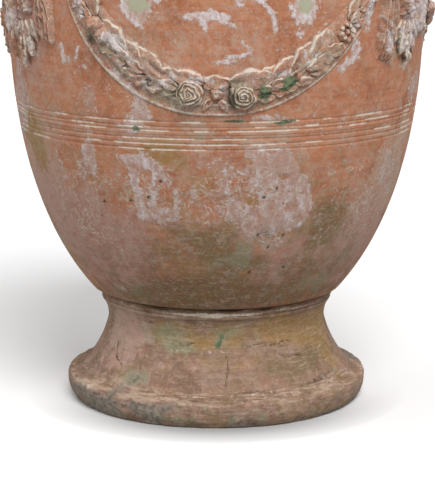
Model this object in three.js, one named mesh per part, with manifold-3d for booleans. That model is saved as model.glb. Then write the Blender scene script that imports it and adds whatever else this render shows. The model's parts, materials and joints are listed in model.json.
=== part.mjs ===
// A footed terracotta garden vase. A thrown foot, bowl, wall and rim are luted together with slip,
// and press-moulded garlands, bows and tassels are applied to the wall.
// Millimetres, +Z up. The origin is the centre of the ring it stands on, and its front faces -Y.
import * as THREE from "three";
import { mergeVertices } from "three/addons/utils/BufferGeometryUtils.js";
import Module from "manifold-3d";

// Heights of the thrown sections, from the ground up
const FOOT_HEIGHT = 134;
const BOWL_HEIGHT = 245;
const WALL_HEIGHT = 243;
const RIM_HEIGHT = 128;

// Body: the bowl and the wall share one curve
const BELLY_RADIUS = 266.5;
const BELLY_ABOVE_SEAM = 140; // from the seam between bowl and wall to the widest girth
const BELLY_FULLNESS = 2.24; // 2 gives an ellipse, more gives a squarer belly
const BASE_RADIUS = 150; // where the bowl meets the foot
const NECK_DRAW_IN = 16.5; // from the widest girth to the neck
const WALL_THICKNESS = 22;
const FLOOR_THICKNESS = 28;
const FLOOR_COVE = 26; // rounding between floor and wall
const DRAIN_RADIUS = 20;

// Luted joints
const SLIP = 0.4; // film of slip left in every joint
const TONGUE_HEIGHT = 10; // step of the lap joints under and over the wall
const SEAT_WIDTH = 54; // ring of the foot on which the bowl sits
const SPIGOT_DEPTH = 9; // plug under the bowl that enters the foot
const COIL_HEIGHT = 9; // roll of clay worked into the joint of foot and bowl
const COIL_DEPTH = 12;
const COIL_BULGE = 2.5;

// Foot
const PLINTH_RADIUS = 197;
const PLINTH_HEIGHT = 47;
const PLINTH_BULGE_HEIGHT = 25; // height of its widest girth
const PLINTH_TUCK = 10.5; // how far its lower edge draws in
const PLINTH_LEDGE = 27; // from its widest girth in to the flare
const FLARE_HOLLOW = 0.78; // 0 gives a straight step, 1 the deepest hollow
const WAIST_RADIUS = 142.5;
const WAIST_BELOW_TOP = 30;
const FOOT_WALL = 34;
const STANDING_RING = 28; // width of the ring it stands on
const FOOT_PLATE = 24; // thickness under the bowl's seat

// Rim
const NECK_BEAD_RADIUS = 7;
const LIP_OVERHANG = 50; // from the neck out to the lip
const LIP_HEIGHT = 44;
const LIP_WIDTH = 56; // across its top
const LIP_ROUNDING = 13;

// Combed belt over the seam
const BELT_GROOVES_EACH_SIDE = 3;
const BELT_PITCH = 6.6;
const GROOVE_DEPTH = 1.6;

// Garlands
const GARLANDS = 3;
const GARLAND_LOW = 48; // lowest point of its centre line over the seam
const GARLAND_END_BELOW_TOP = 60; // from the top of the wall down to its ends
const GARLAND_GAP = 1; // between its ends and the tassels
const BAND_ABOVE = 22; // width of the backing over the centre line
const BAND_THICKNESS = 4;
const BAND_CHAMFER = 2;
const FILLET_WIDTH = 5; // raised line along the lower edge of the backing
const FILLET_HEIGHT = 2.5;
const ROSE_RADIUS = 16;
const ROSE_HEIGHT = 13;
const ROSE_PETALS = 6;
const ROSE_SPACING = 63; // between the two roses
const BLOSSOM_RADIUS = 16;
const BLOSSOM_HEIGHT = 9;
const BLOSSOM_PETALS = 8;
const BLOSSOM_FROM_END = 71; // along the centre line
const FRUIT_RADIUS = 11;
const FRUIT_HEIGHT = 10;
const FRUIT_OVERLAP = 4; // how far the two fruits press into each other
const FRUIT_FROM_END = 88; // along the centre line
const UPPER_LEAF_LENGTH = 42;
const LEAF_WIDTH = 15;
const LEAF_HEIGHT = 6;
const LEAF_PITCH = 30;
const LEAF_SPREAD = 0.6; // angle between leaf and stem, in radians
const LEAF_TIP_GAP = 1.5; // from the lower leaves to the raised line
const LEAF_TUCK = 4; // how far a spray reaches under the flower or fruit beside it, where it is cut
const STEM_WIDTH = 9;
const STEM_HEIGHT = 5;

// Bows and tassels
const BOW_BELOW_TOP = 40; // from the top of the wall down to the knot
const LOOP_LENGTH = 54;
const LOOP_WIDTH = 36;
const LOOP_RELIEF = 11;
const LOOP_TILT = 0.3; // radians
const KNOT_RADIUS = 12;
const KNOT_RELIEF = 14;
const TAIL_WIDTH = 28;
const TAIL_RELIEF = 11;
const TAIL_FLUTES = 3;
const TAIL_GAP = 4; // between tails and bunch
const TAIL_SPLAY = 0.08; // radians
const TAIL_BELOW_KNOT = 26;
const TAIL_LEFT_LENGTH = 96;
const TAIL_RIGHT_LENGTH = 72;
const TAIL_SLANT = 8; // how much the cut end slopes
const CORD_WIDTH = 26;
const CORD_RELIEF = 11;
const CORD_FLUTES = 2;
const CORD_LENGTH = 56;
const BUNCH_LENGTH = 62;
const BUNCH_WIDTH = 46;
const BUNCH_RELIEF = 12;
const BUNCH_SPREAD = 0.1; // radians

// Fineness of the facets
const TURN_STEPS = 36;
const FOOT_CURVE_STEPS = 3;
const CURVE_STEPS = 2;
const BOWL_STEPS = 6;
const WALL_STEPS = 5;
const INNER_STEPS = 3;
const BACK_PITCH = 16; // across the back of a relief
const LENGTH_PITCH = 24; // along a relief

// Levels that follow from the sizes
const BOWL_BASE_Z = FOOT_HEIGHT + SLIP;
const SEAM_Z = BOWL_BASE_Z + BOWL_HEIGHT;
const WALL_BASE_Z = SEAM_Z + SLIP;
const WALL_TOP_Z = WALL_BASE_Z + WALL_HEIGHT;
const RIM_BASE_Z = WALL_TOP_Z + SLIP;
const TOP_Z = RIM_BASE_Z + RIM_HEIGHT;
const BELLY_Z = SEAM_Z + BELLY_ABOVE_SEAM;
const BELT_HALF = BELT_GROOVES_EACH_SIDE * BELT_PITCH;
const NECK_RADIUS = BELLY_RADIUS - NECK_DRAW_IN;
const SEAT_BORE = BASE_RADIUS - SEAT_WIDTH;

const wasm = await Module();
wasm.setup();

// Depth of the quarter curve that shrinks from the belly radius to a radius over a height.
function curveDepth(height, radius) {
  const p = BELLY_FULLNESS;
  return height / (1 - (radius / BELLY_RADIUS) ** p) ** (1 / p);
}

const LOWER_DEPTH = curveDepth(BELLY_Z - BOWL_BASE_Z, BASE_RADIUS);
const UPPER_DEPTH = curveDepth(WALL_TOP_Z - BELLY_Z, NECK_RADIUS);

// Outer radius of bowl and wall at a height.
function bodyRadius(z) {
  const depth = z < BELLY_Z ? LOWER_DEPTH : UPPER_DEPTH;
  const share = Math.min(Math.abs(z - BELLY_Z) / depth, 1);
  return BELLY_RADIUS * (1 - share ** BELLY_FULLNESS) ** (1 / BELLY_FULLNESS);
}

// Carries an outline on along the body's curve, set in by a wall's thickness for the inner face.
function followBody(outline, fromZ, toZ, steps, inset) {
  for (let i = 1; i <= steps; i++) {
    const z = fromZ + ((toZ - fromZ) * i) / steps;
    outline.lineTo(bodyRadius(z) - inset, z);
  }
}

// Carries an outline up over half of the combed belt: grooves with a sharp ridge between them.
function comb(outline, fromZ) {
  for (let i = 0; i < BELT_GROOVES_EACH_SIDE; i++) {
    const grooveZ = fromZ + (i + 0.5) * BELT_PITCH;
    const ridgeZ = fromZ + (i + 1) * BELT_PITCH;
    outline.lineTo(bodyRadius(grooveZ) - GROOVE_DEPTH, grooveZ);
    outline.lineTo(bodyRadius(ridgeZ), ridgeZ);
  }
}

// Radius of the step in a lap joint at a height.
function lapRadius(z) {
  return bodyRadius(z) - WALL_THICKNESS / 2;
}

// Turns a closed outline, up its outside and down its inside, about the axis.
function turned(outline, curveSteps) {
  const points = outline.getPoints(curveSteps);
  points.push(points[0].clone());
  return new THREE.LatheGeometry(points, TURN_STEPS).rotateX(Math.PI / 2);
}

// The foot: bulging plinth, concave flare, waist and seat, hollow beneath
function foot() {
  const standing = PLINTH_RADIUS - PLINTH_TUCK;
  const inside = standing - STANDING_RING;
  const ledge = PLINTH_RADIUS - PLINTH_LEDGE;
  const crownZ = (PLINTH_BULGE_HEIGHT + PLINTH_HEIGHT) / 2;
  const waistZ = FOOT_HEIGHT - WAIST_BELOW_TOP;
  const hollow = ledge - FLARE_HOLLOW * (ledge - WAIST_RADIUS);
  const hollowZ = (PLINTH_HEIGHT + waistZ) / 2;
  const plateZ = FOOT_HEIGHT - FOOT_PLATE;
  const outline = new THREE.Path();
  outline.moveTo(inside, 0);
  outline.lineTo(standing, 0);
  outline.quadraticCurveTo(PLINTH_RADIUS, PLINTH_BULGE_HEIGHT / 3, PLINTH_RADIUS, PLINTH_BULGE_HEIGHT);
  outline.quadraticCurveTo(PLINTH_RADIUS, crownZ, ledge, PLINTH_HEIGHT);
  outline.quadraticCurveTo(hollow, hollowZ, WAIST_RADIUS, waistZ);
  outline.quadraticCurveTo(WAIST_RADIUS, waistZ + WAIST_BELOW_TOP / 2, BASE_RADIUS, FOOT_HEIGHT);
  outline.lineTo(SEAT_BORE, FOOT_HEIGHT);
  outline.lineTo(SEAT_BORE, plateZ);
  outline.lineTo(WAIST_RADIUS - FOOT_WALL, plateZ);
  return turned(outline, FOOT_CURVE_STEPS);
}

// The roll of clay worked round the joint of foot and bowl
function coil() {
  const inner = BASE_RADIUS - COIL_DEPTH;
  const low = FOOT_HEIGHT + SLIP;
  const high = low + COIL_HEIGHT;
  const bulge = BASE_RADIUS + 2 * COIL_BULGE;
  const outline = new THREE.Path();
  outline.moveTo(inner, low);
  outline.lineTo(BASE_RADIUS, low);
  outline.quadraticCurveTo(bulge, (low + high) / 2, BASE_RADIUS + COIL_BULGE, high);
  outline.lineTo(inner, high);
  return turned(outline, CURVE_STEPS);
}

// The bowl: spigot and drain below, combed grooves and a tongue at its upper edge
function bowl() {
  const spigot = SEAT_BORE - SLIP;
  const coilInner = BASE_RADIUS - COIL_DEPTH - SLIP;
  const skirtZ = BOWL_BASE_Z + COIL_HEIGHT + SLIP;
  const tongueZ = SEAM_Z + TONGUE_HEIGHT;
  const floorZ = BOWL_BASE_Z + FLOOR_THICKNESS;
  const coveZ = floorZ + FLOOR_COVE;
  const coveRadius = bodyRadius(coveZ) - WALL_THICKNESS;
  const outline = new THREE.Path();
  outline.moveTo(DRAIN_RADIUS, BOWL_BASE_Z - SPIGOT_DEPTH);
  outline.lineTo(spigot, BOWL_BASE_Z - SPIGOT_DEPTH);
  outline.lineTo(spigot, BOWL_BASE_Z);
  outline.lineTo(coilInner, BOWL_BASE_Z);
  outline.lineTo(coilInner, skirtZ);
  outline.lineTo(bodyRadius(skirtZ), skirtZ);
  followBody(outline, skirtZ, SEAM_Z - BELT_HALF, BOWL_STEPS, 0);
  comb(outline, SEAM_Z - BELT_HALF);
  outline.lineTo(lapRadius(SEAM_Z), SEAM_Z);
  outline.lineTo(lapRadius(SEAM_Z), tongueZ);
  outline.lineTo(bodyRadius(tongueZ) - WALL_THICKNESS, tongueZ);
  followBody(outline, tongueZ, coveZ, INNER_STEPS, WALL_THICKNESS);
  outline.quadraticCurveTo(coveRadius - FLOOR_COVE / 2, floorZ, coveRadius - 2 * FLOOR_COVE, floorZ);
  outline.lineTo(DRAIN_RADIUS, floorZ);
  return turned(outline, CURVE_STEPS);
}

// The wall: sits on the bowl's tongue and carries the rim on its own
function wall() {
  const rebate = lapRadius(SEAM_Z) + SLIP;
  const rebateZ = WALL_BASE_Z + TONGUE_HEIGHT;
  const outline = new THREE.Path();
  outline.moveTo(rebate, WALL_BASE_Z);
  outline.lineTo(bodyRadius(WALL_BASE_Z), WALL_BASE_Z);
  comb(outline, WALL_BASE_Z);
  followBody(outline, WALL_BASE_Z + BELT_HALF, WALL_TOP_Z, WALL_STEPS, 0);
  outline.lineTo(lapRadius(WALL_TOP_Z), WALL_TOP_Z);
  outline.lineTo(lapRadius(WALL_TOP_Z), WALL_TOP_Z + TONGUE_HEIGHT);
  outline.lineTo(NECK_RADIUS - WALL_THICKNESS, WALL_TOP_Z + TONGUE_HEIGHT);
  followBody(outline, WALL_TOP_Z, rebateZ, INNER_STEPS, WALL_THICKNESS);
  outline.lineTo(rebate, rebateZ);
  return turned(outline, CURVE_STEPS);
}

// The rim: beaded neck, concave flare and a broad rounded lip
function rim() {
  const rebate = lapRadius(WALL_TOP_Z) + SLIP;
  const rebateZ = RIM_BASE_Z + TONGUE_HEIGHT;
  const beadTop = RIM_BASE_Z + 2 * NECK_BEAD_RADIUS;
  const lip = NECK_RADIUS + LIP_OVERHANG;
  const lipZ = TOP_Z - LIP_HEIGHT;
  const mouth = lip - LIP_WIDTH;
  const outline = new THREE.Path();
  outline.moveTo(rebate, RIM_BASE_Z);
  outline.lineTo(NECK_RADIUS, RIM_BASE_Z);
  outline.quadraticCurveTo(
    NECK_RADIUS + 2 * NECK_BEAD_RADIUS,
    RIM_BASE_Z + NECK_BEAD_RADIUS,
    NECK_RADIUS,
    beadTop,
  );
  outline.quadraticCurveTo(NECK_RADIUS, lipZ - LIP_ROUNDING, lip - LIP_ROUNDING, lipZ);
  outline.quadraticCurveTo(lip, lipZ, lip, lipZ + LIP_ROUNDING);
  outline.lineTo(lip, TOP_Z - LIP_ROUNDING);
  outline.quadraticCurveTo(lip, TOP_Z, lip - LIP_ROUNDING, TOP_Z);
  outline.lineTo(mouth + LIP_ROUNDING, TOP_Z);
  outline.quadraticCurveTo(mouth, TOP_Z, mouth, TOP_Z - LIP_ROUNDING);
  outline.lineTo(NECK_RADIUS - WALL_THICKNESS, rebateZ);
  outline.lineTo(rebate, rebateZ);
  return turned(outline, CURVE_STEPS);
}

// A point of the unrolled wall, along its girth, up and out from its face, bent round the body.
function onWall(angle, point, stand) {
  const slope = bodyRadius(point.y + 0.5) - bodyRadius(point.y - 0.5);
  const normal = new THREE.Vector2(1, -slope).normalize();
  const out = stand + point.z;
  const radius = bodyRadius(point.y) + out * normal.x;
  const turn = angle + point.x / BELLY_RADIUS;
  return new THREE.Vector3(radius * Math.sin(turn), -radius * Math.cos(turn), point.y + out * normal.y);
}

// A closed body through rings of points, with a flat end on the first and the last ring.
function loft(rings) {
  const count = rings[0].length;
  const points = rings.flat();
  const index = [];
  for (let r = 0; r < rings.length - 1; r++) {
    for (let i = 0; i < count; i++) {
      const a = r * count + i;
      const b = r * count + ((i + 1) % count);
      index.push(a, b, b + count, a, b + count, a + count);
    }
  }
  const last = (rings.length - 1) * count;
  const middle = (ring) => ring.reduce((sum, p) => sum.add(p), new THREE.Vector3()).divideScalar(count);
  points.push(middle(rings[0]), middle(rings.at(-1)));
  for (let i = 0; i < count; i++) {
    const next = (i + 1) % count;
    index.push(next, i, points.length - 2);
    index.push(last + i, last + next, points.length - 1);
  }
  return new THREE.BufferGeometry().setFromPoints(points).setIndex(index);
}

// Presses flat rings, in millimetres across, up and out, onto the wall.
// The spot gives where their origin goes on the unrolled wall, how they are turned and how far out.
function pressed(rings, spot) {
  const cos = Math.cos(spot.turn);
  const sin = Math.sin(spot.turn);
  const place = (p) => {
    const across = spot.x + p.x * cos - p.y * sin;
    const up = spot.z + p.x * sin + p.y * cos;
    return onWall(spot.angle, new THREE.Vector3(across, up, p.z), spot.stand);
  };
  return loft(rings.map((ring) => ring.map(place)));
}

// The back of a relief between two edges, with points close enough to follow the wall.
function backRow(from, to) {
  const steps = Math.ceil((to - from) / BACK_PITCH);
  return Array.from({ length: steps + 1 }, (_, i) => [from + ((to - from) * i) / steps, 0]);
}

// A ring of points round an origin; its radius alternates where there are petals.
function circle(radius, height, count, notch = 0) {
  return Array.from({ length: count }, (_, i) => {
    const reach = i % 2 ? radius - notch : radius;
    const turn = (2 * Math.PI * i) / count;
    return new THREE.Vector3(reach * Math.cos(turn), reach * Math.sin(turn), height);
  });
}

// A geometry as a solid that can be joined and cut.
function solid(geometry) {
  const merged = mergeVertices(geometry);
  const vertProperties = merged.getAttribute("position").array;
  const triVerts = new Uint32Array(merged.index.array);
  return new wasm.Manifold(new wasm.Mesh({ numProp: 3, vertProperties, triVerts }));
}

// Several geometries joined, less others, as one geometry.
function joined(pieces, cutters = []) {
  const whole = wasm.Manifold.union(pieces.map(solid));
  const made = cutters.reduce((rest, cutter) => rest.subtract(solid(cutter)), whole).getMesh();
  const geometry = new THREE.BufferGeometry();
  geometry.setAttribute("position", new THREE.BufferAttribute(made.vertProperties, 3));
  geometry.setIndex(new THREE.BufferAttribute(made.triVerts, 1));
  return geometry;
}

// A leaf lying along the first axis from its base, with two crests and a sunk midrib.
function leafRings(length, width, height) {
  const shares = [0, 0.3, 0.65, 1, 0.65, 0.3];
  const side = [0, -1, -1, 0, 1, 1];
  const half = (share) => (width / 2) * Math.sin(Math.PI * share ** 0.85);
  const rim = shares.map((s, i) => new THREE.Vector3(length * s, side[i] * half(s), 0));
  const crest = shares.map((s, i) => {
    const along = length * (0.12 + 0.7 * s);
    return new THREE.Vector3(along, side[i] * half(s) * 0.5, i % 3 ? height : height * 0.6);
  });
  return [rim, crest];
}

// A rose: three rounds of petals, each standing higher
function roseRings() {
  const count = 2 * ROSE_PETALS;
  const notch = ROSE_RADIUS * 0.12;
  return [
    circle(ROSE_RADIUS, 0, count, notch),
    circle(ROSE_RADIUS, ROSE_HEIGHT * 0.45, count, notch),
    circle(ROSE_RADIUS * 0.68, ROSE_HEIGHT * 0.4, count, 0),
    circle(ROSE_RADIUS * 0.62, ROSE_HEIGHT * 0.8, count, -notch / 2),
    circle(ROSE_RADIUS * 0.36, ROSE_HEIGHT * 0.7, count, 0),
    circle(ROSE_RADIUS * 0.3, ROSE_HEIGHT, count, 0),
  ];
}

// An open blossom: one round of petals about a button
function blossomRings() {
  const count = 2 * BLOSSOM_PETALS;
  const notch = BLOSSOM_RADIUS * 0.3;
  return [
    circle(BLOSSOM_RADIUS, 0, count, notch),
    circle(BLOSSOM_RADIUS * 0.92, BLOSSOM_HEIGHT * 0.6, count, notch),
    circle(BLOSSOM_RADIUS * 0.4, BLOSSOM_HEIGHT * 0.45, count, 0),
    circle(BLOSSOM_RADIUS * 0.3, BLOSSOM_HEIGHT, count, 0),
  ];
}

// A dome, for a fruit and for the knot of a bow
function domeRings(radius, height) {
  const count = 8;
  return [
    circle(radius, 0, count),
    circle(radius * 0.93, height * 0.5, count),
    circle(radius * 0.55, height * 0.9, count),
  ];
}

// The round space a flower or fruit keeps free of leaves, over the whole depth of the relief.
function clearing(radius) {
  const count = 8;
  const reach = (radius + SLIP) / Math.cos(Math.PI / count);
  return [circle(reach, -SLIP, count), circle(reach, 3 * LEAF_HEIGHT, count)];
}

// Size of a chain curve that rises by a height over a half span.
function chainSize(halfSpan, rise) {
  let low = halfSpan / 20;
  let high = halfSpan * 50;
  for (let i = 0; i < 60; i++) {
    const size = (low + high) / 2;
    const reached = size * (Math.cosh(halfSpan / size) - 1);
    [low, high] = reached > rise ? [size, high] : [low, size];
  }
  return low;
}

// Centre line of a garland: hangs like a chain between two tassels
const TAIL_OFFSET = BUNCH_WIDTH / 2 + TAIL_GAP + TAIL_WIDTH / 2;
const TASSEL_REACH = Math.max(LOOP_LENGTH, TAIL_OFFSET + TAIL_WIDTH / 2);
const GARLAND_LOW_Z = SEAM_Z + GARLAND_LOW;
const GARLAND_RISE = WALL_TOP_Z - GARLAND_END_BELOW_TOP - GARLAND_LOW_Z;
const HALF_SPAN = (Math.PI / GARLANDS) * BELLY_RADIUS - TASSEL_REACH - BAND_ABOVE - GARLAND_GAP;
const CHAIN = chainSize(HALF_SPAN, GARLAND_RISE);
const HALF_LENGTH = CHAIN * Math.sinh(HALF_SPAN / CHAIN);

// What the roses, blossom and fruits take up to either side of the centre line
const FLOWER_REACH = Math.max(ROSE_RADIUS, BLOSSOM_RADIUS, FRUIT_RADIUS) + SLIP;
const LOWER_LEAF = (FLOWER_REACH - LEAF_TIP_GAP) / Math.sin(LEAF_SPREAD);

// Place and slope on the centre line, by distance along it from the middle.
function onGarland(distance) {
  const x = CHAIN * Math.asinh(distance / CHAIN);
  const z = GARLAND_LOW_Z + CHAIN * (Math.cosh(x / CHAIN) - 1);
  return { x, z, slope: Math.atan(Math.sinh(x / CHAIN)) };
}

// A body swept along part of a garland; its section runs across the strand and out from the wall.
function swept(section, from, to, spot) {
  const steps = Math.ceil((to - from) / LENGTH_PITCH);
  const rings = Array.from({ length: steps + 1 }, (_, i) => {
    const at = onGarland(from + ((to - from) * i) / steps);
    return section.map(([across, out]) => {
      const x = at.x - across * Math.sin(at.slope);
      const z = at.z + across * Math.cos(at.slope);
      return new THREE.Vector3(x, z, out);
    });
  });
  return pressed(rings, { ...spot, x: 0, z: 0, turn: 0 });
}

// The band: flat backing of a garland with a raised line along its lower edge
function band(spot) {
  const low = -FLOWER_REACH - FILLET_WIDTH;
  const section = [
    ...backRow(low, BAND_ABOVE),
    [BAND_ABOVE - BAND_CHAMFER, BAND_THICKNESS],
    [low + FILLET_WIDTH, BAND_THICKNESS],
    [low + FILLET_WIDTH / 2, BAND_THICKNESS + FILLET_HEIGHT],
  ];
  return swept(section, -HALF_LENGTH, HALF_LENGTH, { ...spot, stand: SLIP });
}

// A spray: a stem along the garland with leaves to either side, pointing towards the nearer end.
// It is cut clear of the flowers and fruits beside it.
function spray(from, to, spot, clearings) {
  const way = Math.sign(to - from);
  const half = STEM_WIDTH / 2;
  const section = [
    [-half, 0],
    [half, 0],
    [half / 2, STEM_HEIGHT],
    [-half / 2, STEM_HEIGHT],
  ];
  const room = Math.abs(to - from) - UPPER_LEAF_LENGTH;
  const pairs = Math.max(1, Math.floor(room / LEAF_PITCH) + 1);
  const ends = [from, from + way * (room + LEAF_WIDTH)];
  const pieces = [swept(section, Math.min(...ends), Math.max(...ends), spot)];
  for (let i = 0; i < pairs; i++) {
    const at = onGarland(from + way * i * LEAF_PITCH);
    const along = at.slope + (way > 0 ? 0 : Math.PI);
    const upper = { ...spot, ...at, turn: along + way * LEAF_SPREAD };
    const lower = { ...spot, ...at, turn: along - way * LEAF_SPREAD };
    pieces.push(pressed(leafRings(UPPER_LEAF_LENGTH, LEAF_WIDTH, LEAF_HEIGHT), upper));
    pieces.push(pressed(leafRings(LOWER_LEAF, LEAF_WIDTH, LEAF_HEIGHT), lower));
  }
  return joined(pieces, clearings);
}

// All the pieces of one garland, whose middle is at an angle round the vase
function garland(angle) {
  const spot = { angle, turn: 0, stand: BAND_THICKNESS + 2 * SLIP };
  const at = (distance) => ({ ...spot, ...onGarland(distance) });
  const roseLeft = at(-ROSE_SPACING / 2);
  const roseRight = at(ROSE_SPACING / 2);
  const blossomAt = HALF_LENGTH - BLOSSOM_FROM_END;
  const blossom = at(blossomAt);
  const fruitAt = FRUIT_FROM_END - HALF_LENGTH;
  const fruitShift = FRUIT_RADIUS - FRUIT_OVERLAP / 2;
  const fruits = [at(fruitAt + fruitShift), at(fruitAt - fruitShift)];
  const clearings = [
    pressed(clearing(ROSE_RADIUS), roseLeft),
    pressed(clearing(ROSE_RADIUS), roseRight),
    pressed(clearing(BLOSSOM_RADIUS), blossom),
    ...fruits.map((spotOfFruit) => pressed(clearing(FRUIT_RADIUS), spotOfFruit)),
  ];
  const roseReach = ROSE_SPACING / 2 + ROSE_RADIUS - LEAF_TUCK;
  const fruitReach = fruitShift + FRUIT_RADIUS - LEAF_TUCK;
  const blossomReach = BLOSSOM_RADIUS - LEAF_TUCK;
  const centre = [-1, 0, 1].map((side) => {
    const turn = Math.PI / 2 - side * LEAF_SPREAD;
    const low = { ...at(0), turn };
    return pressed(leafRings(LOWER_LEAF, LEAF_WIDTH, LEAF_HEIGHT), low);
  });
  return {
    band: band(spot),
    rose_left: pressed(roseRings(), roseLeft),
    rose_right: pressed(roseRings(), roseRight),
    leaves_centre: joined(centre, clearings),
    leaves_left_low: spray(-roseReach, fruitAt + fruitReach, spot, clearings),
    leaves_left_high: spray(fruitAt - fruitReach, -HALF_LENGTH, spot, clearings),
    leaves_right_low: spray(roseReach, blossomAt - blossomReach, spot, clearings),
    leaves_right_high: spray(blossomAt + blossomReach, HALF_LENGTH, spot, clearings),
    fruits: joined(fruits.map((place) => pressed(domeRings(FRUIT_RADIUS, FRUIT_HEIGHT), place))),
    blossom: pressed(blossomRings(), blossom),
  };
}

// A fluted ribbon hanging straight down from its top, with a slanting end
function ribbonRings(width, relief, flutes, length, slant) {
  const steps = Math.ceil(length / LENGTH_PITCH);
  const section = backRow(-width / 2, width / 2);
  for (let i = flutes - 1; i >= 0; i--) {
    const left = -width / 2 + (width * i) / flutes;
    section.push([left + (width / flutes) * 0.7, relief]);
    section.push([left + (width / flutes) * 0.3, relief]);
    if (i > 0) {
      section.push([left, relief * 0.5]);
    }
  }
  return Array.from({ length: steps + 1 }, (_, i) => {
    const share = i / steps;
    const taper = 0.85 + 0.15 * share;
    return section.map(([x, out]) => {
      const low = length + (slant * x) / width;
      return new THREE.Vector3(x * taper, -low * share, out);
    });
  });
}

// A bunch of shingled leaves, narrowing to a point, at the lower end of a tassel
function bunch(spot) {
  const half = BUNCH_LENGTH / 2;
  const leaf = (x, down, length, height, tilt) => {
    const place = { ...spot, x: spot.x + x, z: spot.z - down, turn: tilt - Math.PI / 2 };
    return pressed(leafRings(length, BUNCH_WIDTH / 2, height), place);
  };
  return joined([
    leaf(-BUNCH_WIDTH / 5, 0, half * 1.3, BUNCH_RELIEF, -BUNCH_SPREAD),
    leaf(BUNCH_WIDTH / 5, 0, half * 1.3, BUNCH_RELIEF, BUNCH_SPREAD),
    leaf(0, half * 0.3, half * 1.2, BUNCH_RELIEF, 0),
    leaf(0, half, half, BUNCH_RELIEF * 0.7, 0),
  ]);
}

// A loop of a bow: a ribbon turned back on itself, with a hollow in its middle
function loopRings() {
  const count = 8;
  const ring = (scale, height) =>
    Array.from({ length: count }, (_, i) => {
      const turn = (2 * Math.PI * i) / count;
      const along = (LOOP_LENGTH / 2) * (1 + scale * Math.cos(turn));
      const flare = 0.55 + 0.45 * Math.sin((Math.PI / 2) * Math.min(along / LOOP_LENGTH + 0.2, 1));
      return new THREE.Vector3(along, (LOOP_WIDTH / 2) * scale * flare * Math.sin(turn), height);
    });
  return [
    ring(0.5, 0),
    ring(1, 0),
    ring(0.94, LOOP_RELIEF * 0.9),
    ring(0.72, LOOP_RELIEF),
    ring(0.4, LOOP_RELIEF * 0.45),
  ];
}

// All the pieces of one tassel, whose middle is at an angle round the vase
function tassel(angle) {
  const knotZ = WALL_TOP_Z - BOW_BELOW_TOP;
  const spot = { angle, x: 0, z: knotZ, turn: 0, stand: SLIP };
  const cordZ = knotZ - KNOT_RADIUS - SLIP;
  const loops = [LOOP_TILT, Math.PI - LOOP_TILT].map((turn) => pressed(loopRings(), { ...spot, turn }));
  const tail = (side, length) => {
    const place = { ...spot, x: side * TAIL_OFFSET, z: knotZ - TAIL_BELOW_KNOT, turn: side * TAIL_SPLAY };
    return pressed(ribbonRings(TAIL_WIDTH, TAIL_RELIEF, TAIL_FLUTES, length, TAIL_SLANT), place);
  };
  return {
    bow: joined([...loops, pressed(domeRings(KNOT_RADIUS, KNOT_RELIEF), spot)]),
    tail_left: tail(-1, TAIL_LEFT_LENGTH),
    tail_right: tail(1, TAIL_RIGHT_LENGTH),
    cord: pressed(ribbonRings(CORD_WIDTH, CORD_RELIEF, CORD_FLUTES, CORD_LENGTH, 0), { ...spot, z: cordZ }),
    bunch: bunch({ ...spot, z: cordZ - CORD_LENGTH - SLIP }),
  };
}

// Fired clay as it looks outdoors: bare on the body, greyer on the foot, paler on the relief
const clay = (color) => new THREE.MeshStandardMaterial({ color, roughness: 0.92, metalness: 0 });
const BODY_CLAY = clay(0xb57d60);
const FOOT_CLAY = clay(0x9a7a66);
const RELIEF_CLAY = clay(0xb39683);

const vase = new THREE.Group();

function add(name, geometry, material) {
  const mesh = new THREE.Mesh(geometry, material.clone());
  mesh.name = name;
  vase.add(mesh);
}

add("foot", foot(), FOOT_CLAY);
add("joint_coil", coil(), FOOT_CLAY);
add("bowl", bowl(), BODY_CLAY);
add("wall", wall(), BODY_CLAY);
add("rim", rim(), BODY_CLAY);
for (let i = 0; i < GARLANDS; i++) {
  const angle = (2 * Math.PI * i) / GARLANDS;
  for (const [name, geometry] of Object.entries(garland(angle))) {
    add(`garland_${i + 1}_${name}`, geometry, RELIEF_CLAY);
  }
  for (const [name, geometry] of Object.entries(tassel(angle + Math.PI / GARLANDS))) {
    add(`tassel_${i + 1}_${name}`, geometry, RELIEF_CLAY);
  }
}

export default vase;
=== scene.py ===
# %% [markdown]
# # A footed terracotta garden vase
# The real vase was thrown on the wheel in sections, luted together with slip and dressed with
# press-moulded garlands, bows and tassels. Then it stood outdoors for a century.
# This lesson loads a frame of plain solids, one for each piece, and builds a fine piece in the place of
# each. Lengths in the script are millimetres, and become metres where a mesh or a node needs them.

# %% Load the frame
import json
import math
import random
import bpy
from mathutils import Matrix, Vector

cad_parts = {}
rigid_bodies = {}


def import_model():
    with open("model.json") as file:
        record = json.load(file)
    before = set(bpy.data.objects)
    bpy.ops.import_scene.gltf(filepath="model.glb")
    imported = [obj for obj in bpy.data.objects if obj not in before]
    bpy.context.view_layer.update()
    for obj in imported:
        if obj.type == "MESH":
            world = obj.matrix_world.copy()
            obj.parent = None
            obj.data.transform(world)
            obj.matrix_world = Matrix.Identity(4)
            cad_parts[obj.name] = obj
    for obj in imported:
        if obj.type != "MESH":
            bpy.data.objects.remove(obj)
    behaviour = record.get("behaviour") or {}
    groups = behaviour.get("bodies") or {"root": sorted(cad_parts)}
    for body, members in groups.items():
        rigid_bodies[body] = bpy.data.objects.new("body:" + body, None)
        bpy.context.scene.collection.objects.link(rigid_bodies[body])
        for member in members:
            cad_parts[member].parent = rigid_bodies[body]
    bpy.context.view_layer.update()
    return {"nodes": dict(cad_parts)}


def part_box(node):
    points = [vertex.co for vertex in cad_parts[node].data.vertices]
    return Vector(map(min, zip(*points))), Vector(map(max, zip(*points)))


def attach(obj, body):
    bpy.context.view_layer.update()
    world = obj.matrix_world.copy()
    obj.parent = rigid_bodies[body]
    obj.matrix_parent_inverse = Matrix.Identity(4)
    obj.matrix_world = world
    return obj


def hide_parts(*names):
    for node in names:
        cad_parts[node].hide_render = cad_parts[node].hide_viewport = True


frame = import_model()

from types import SimpleNamespace

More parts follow.
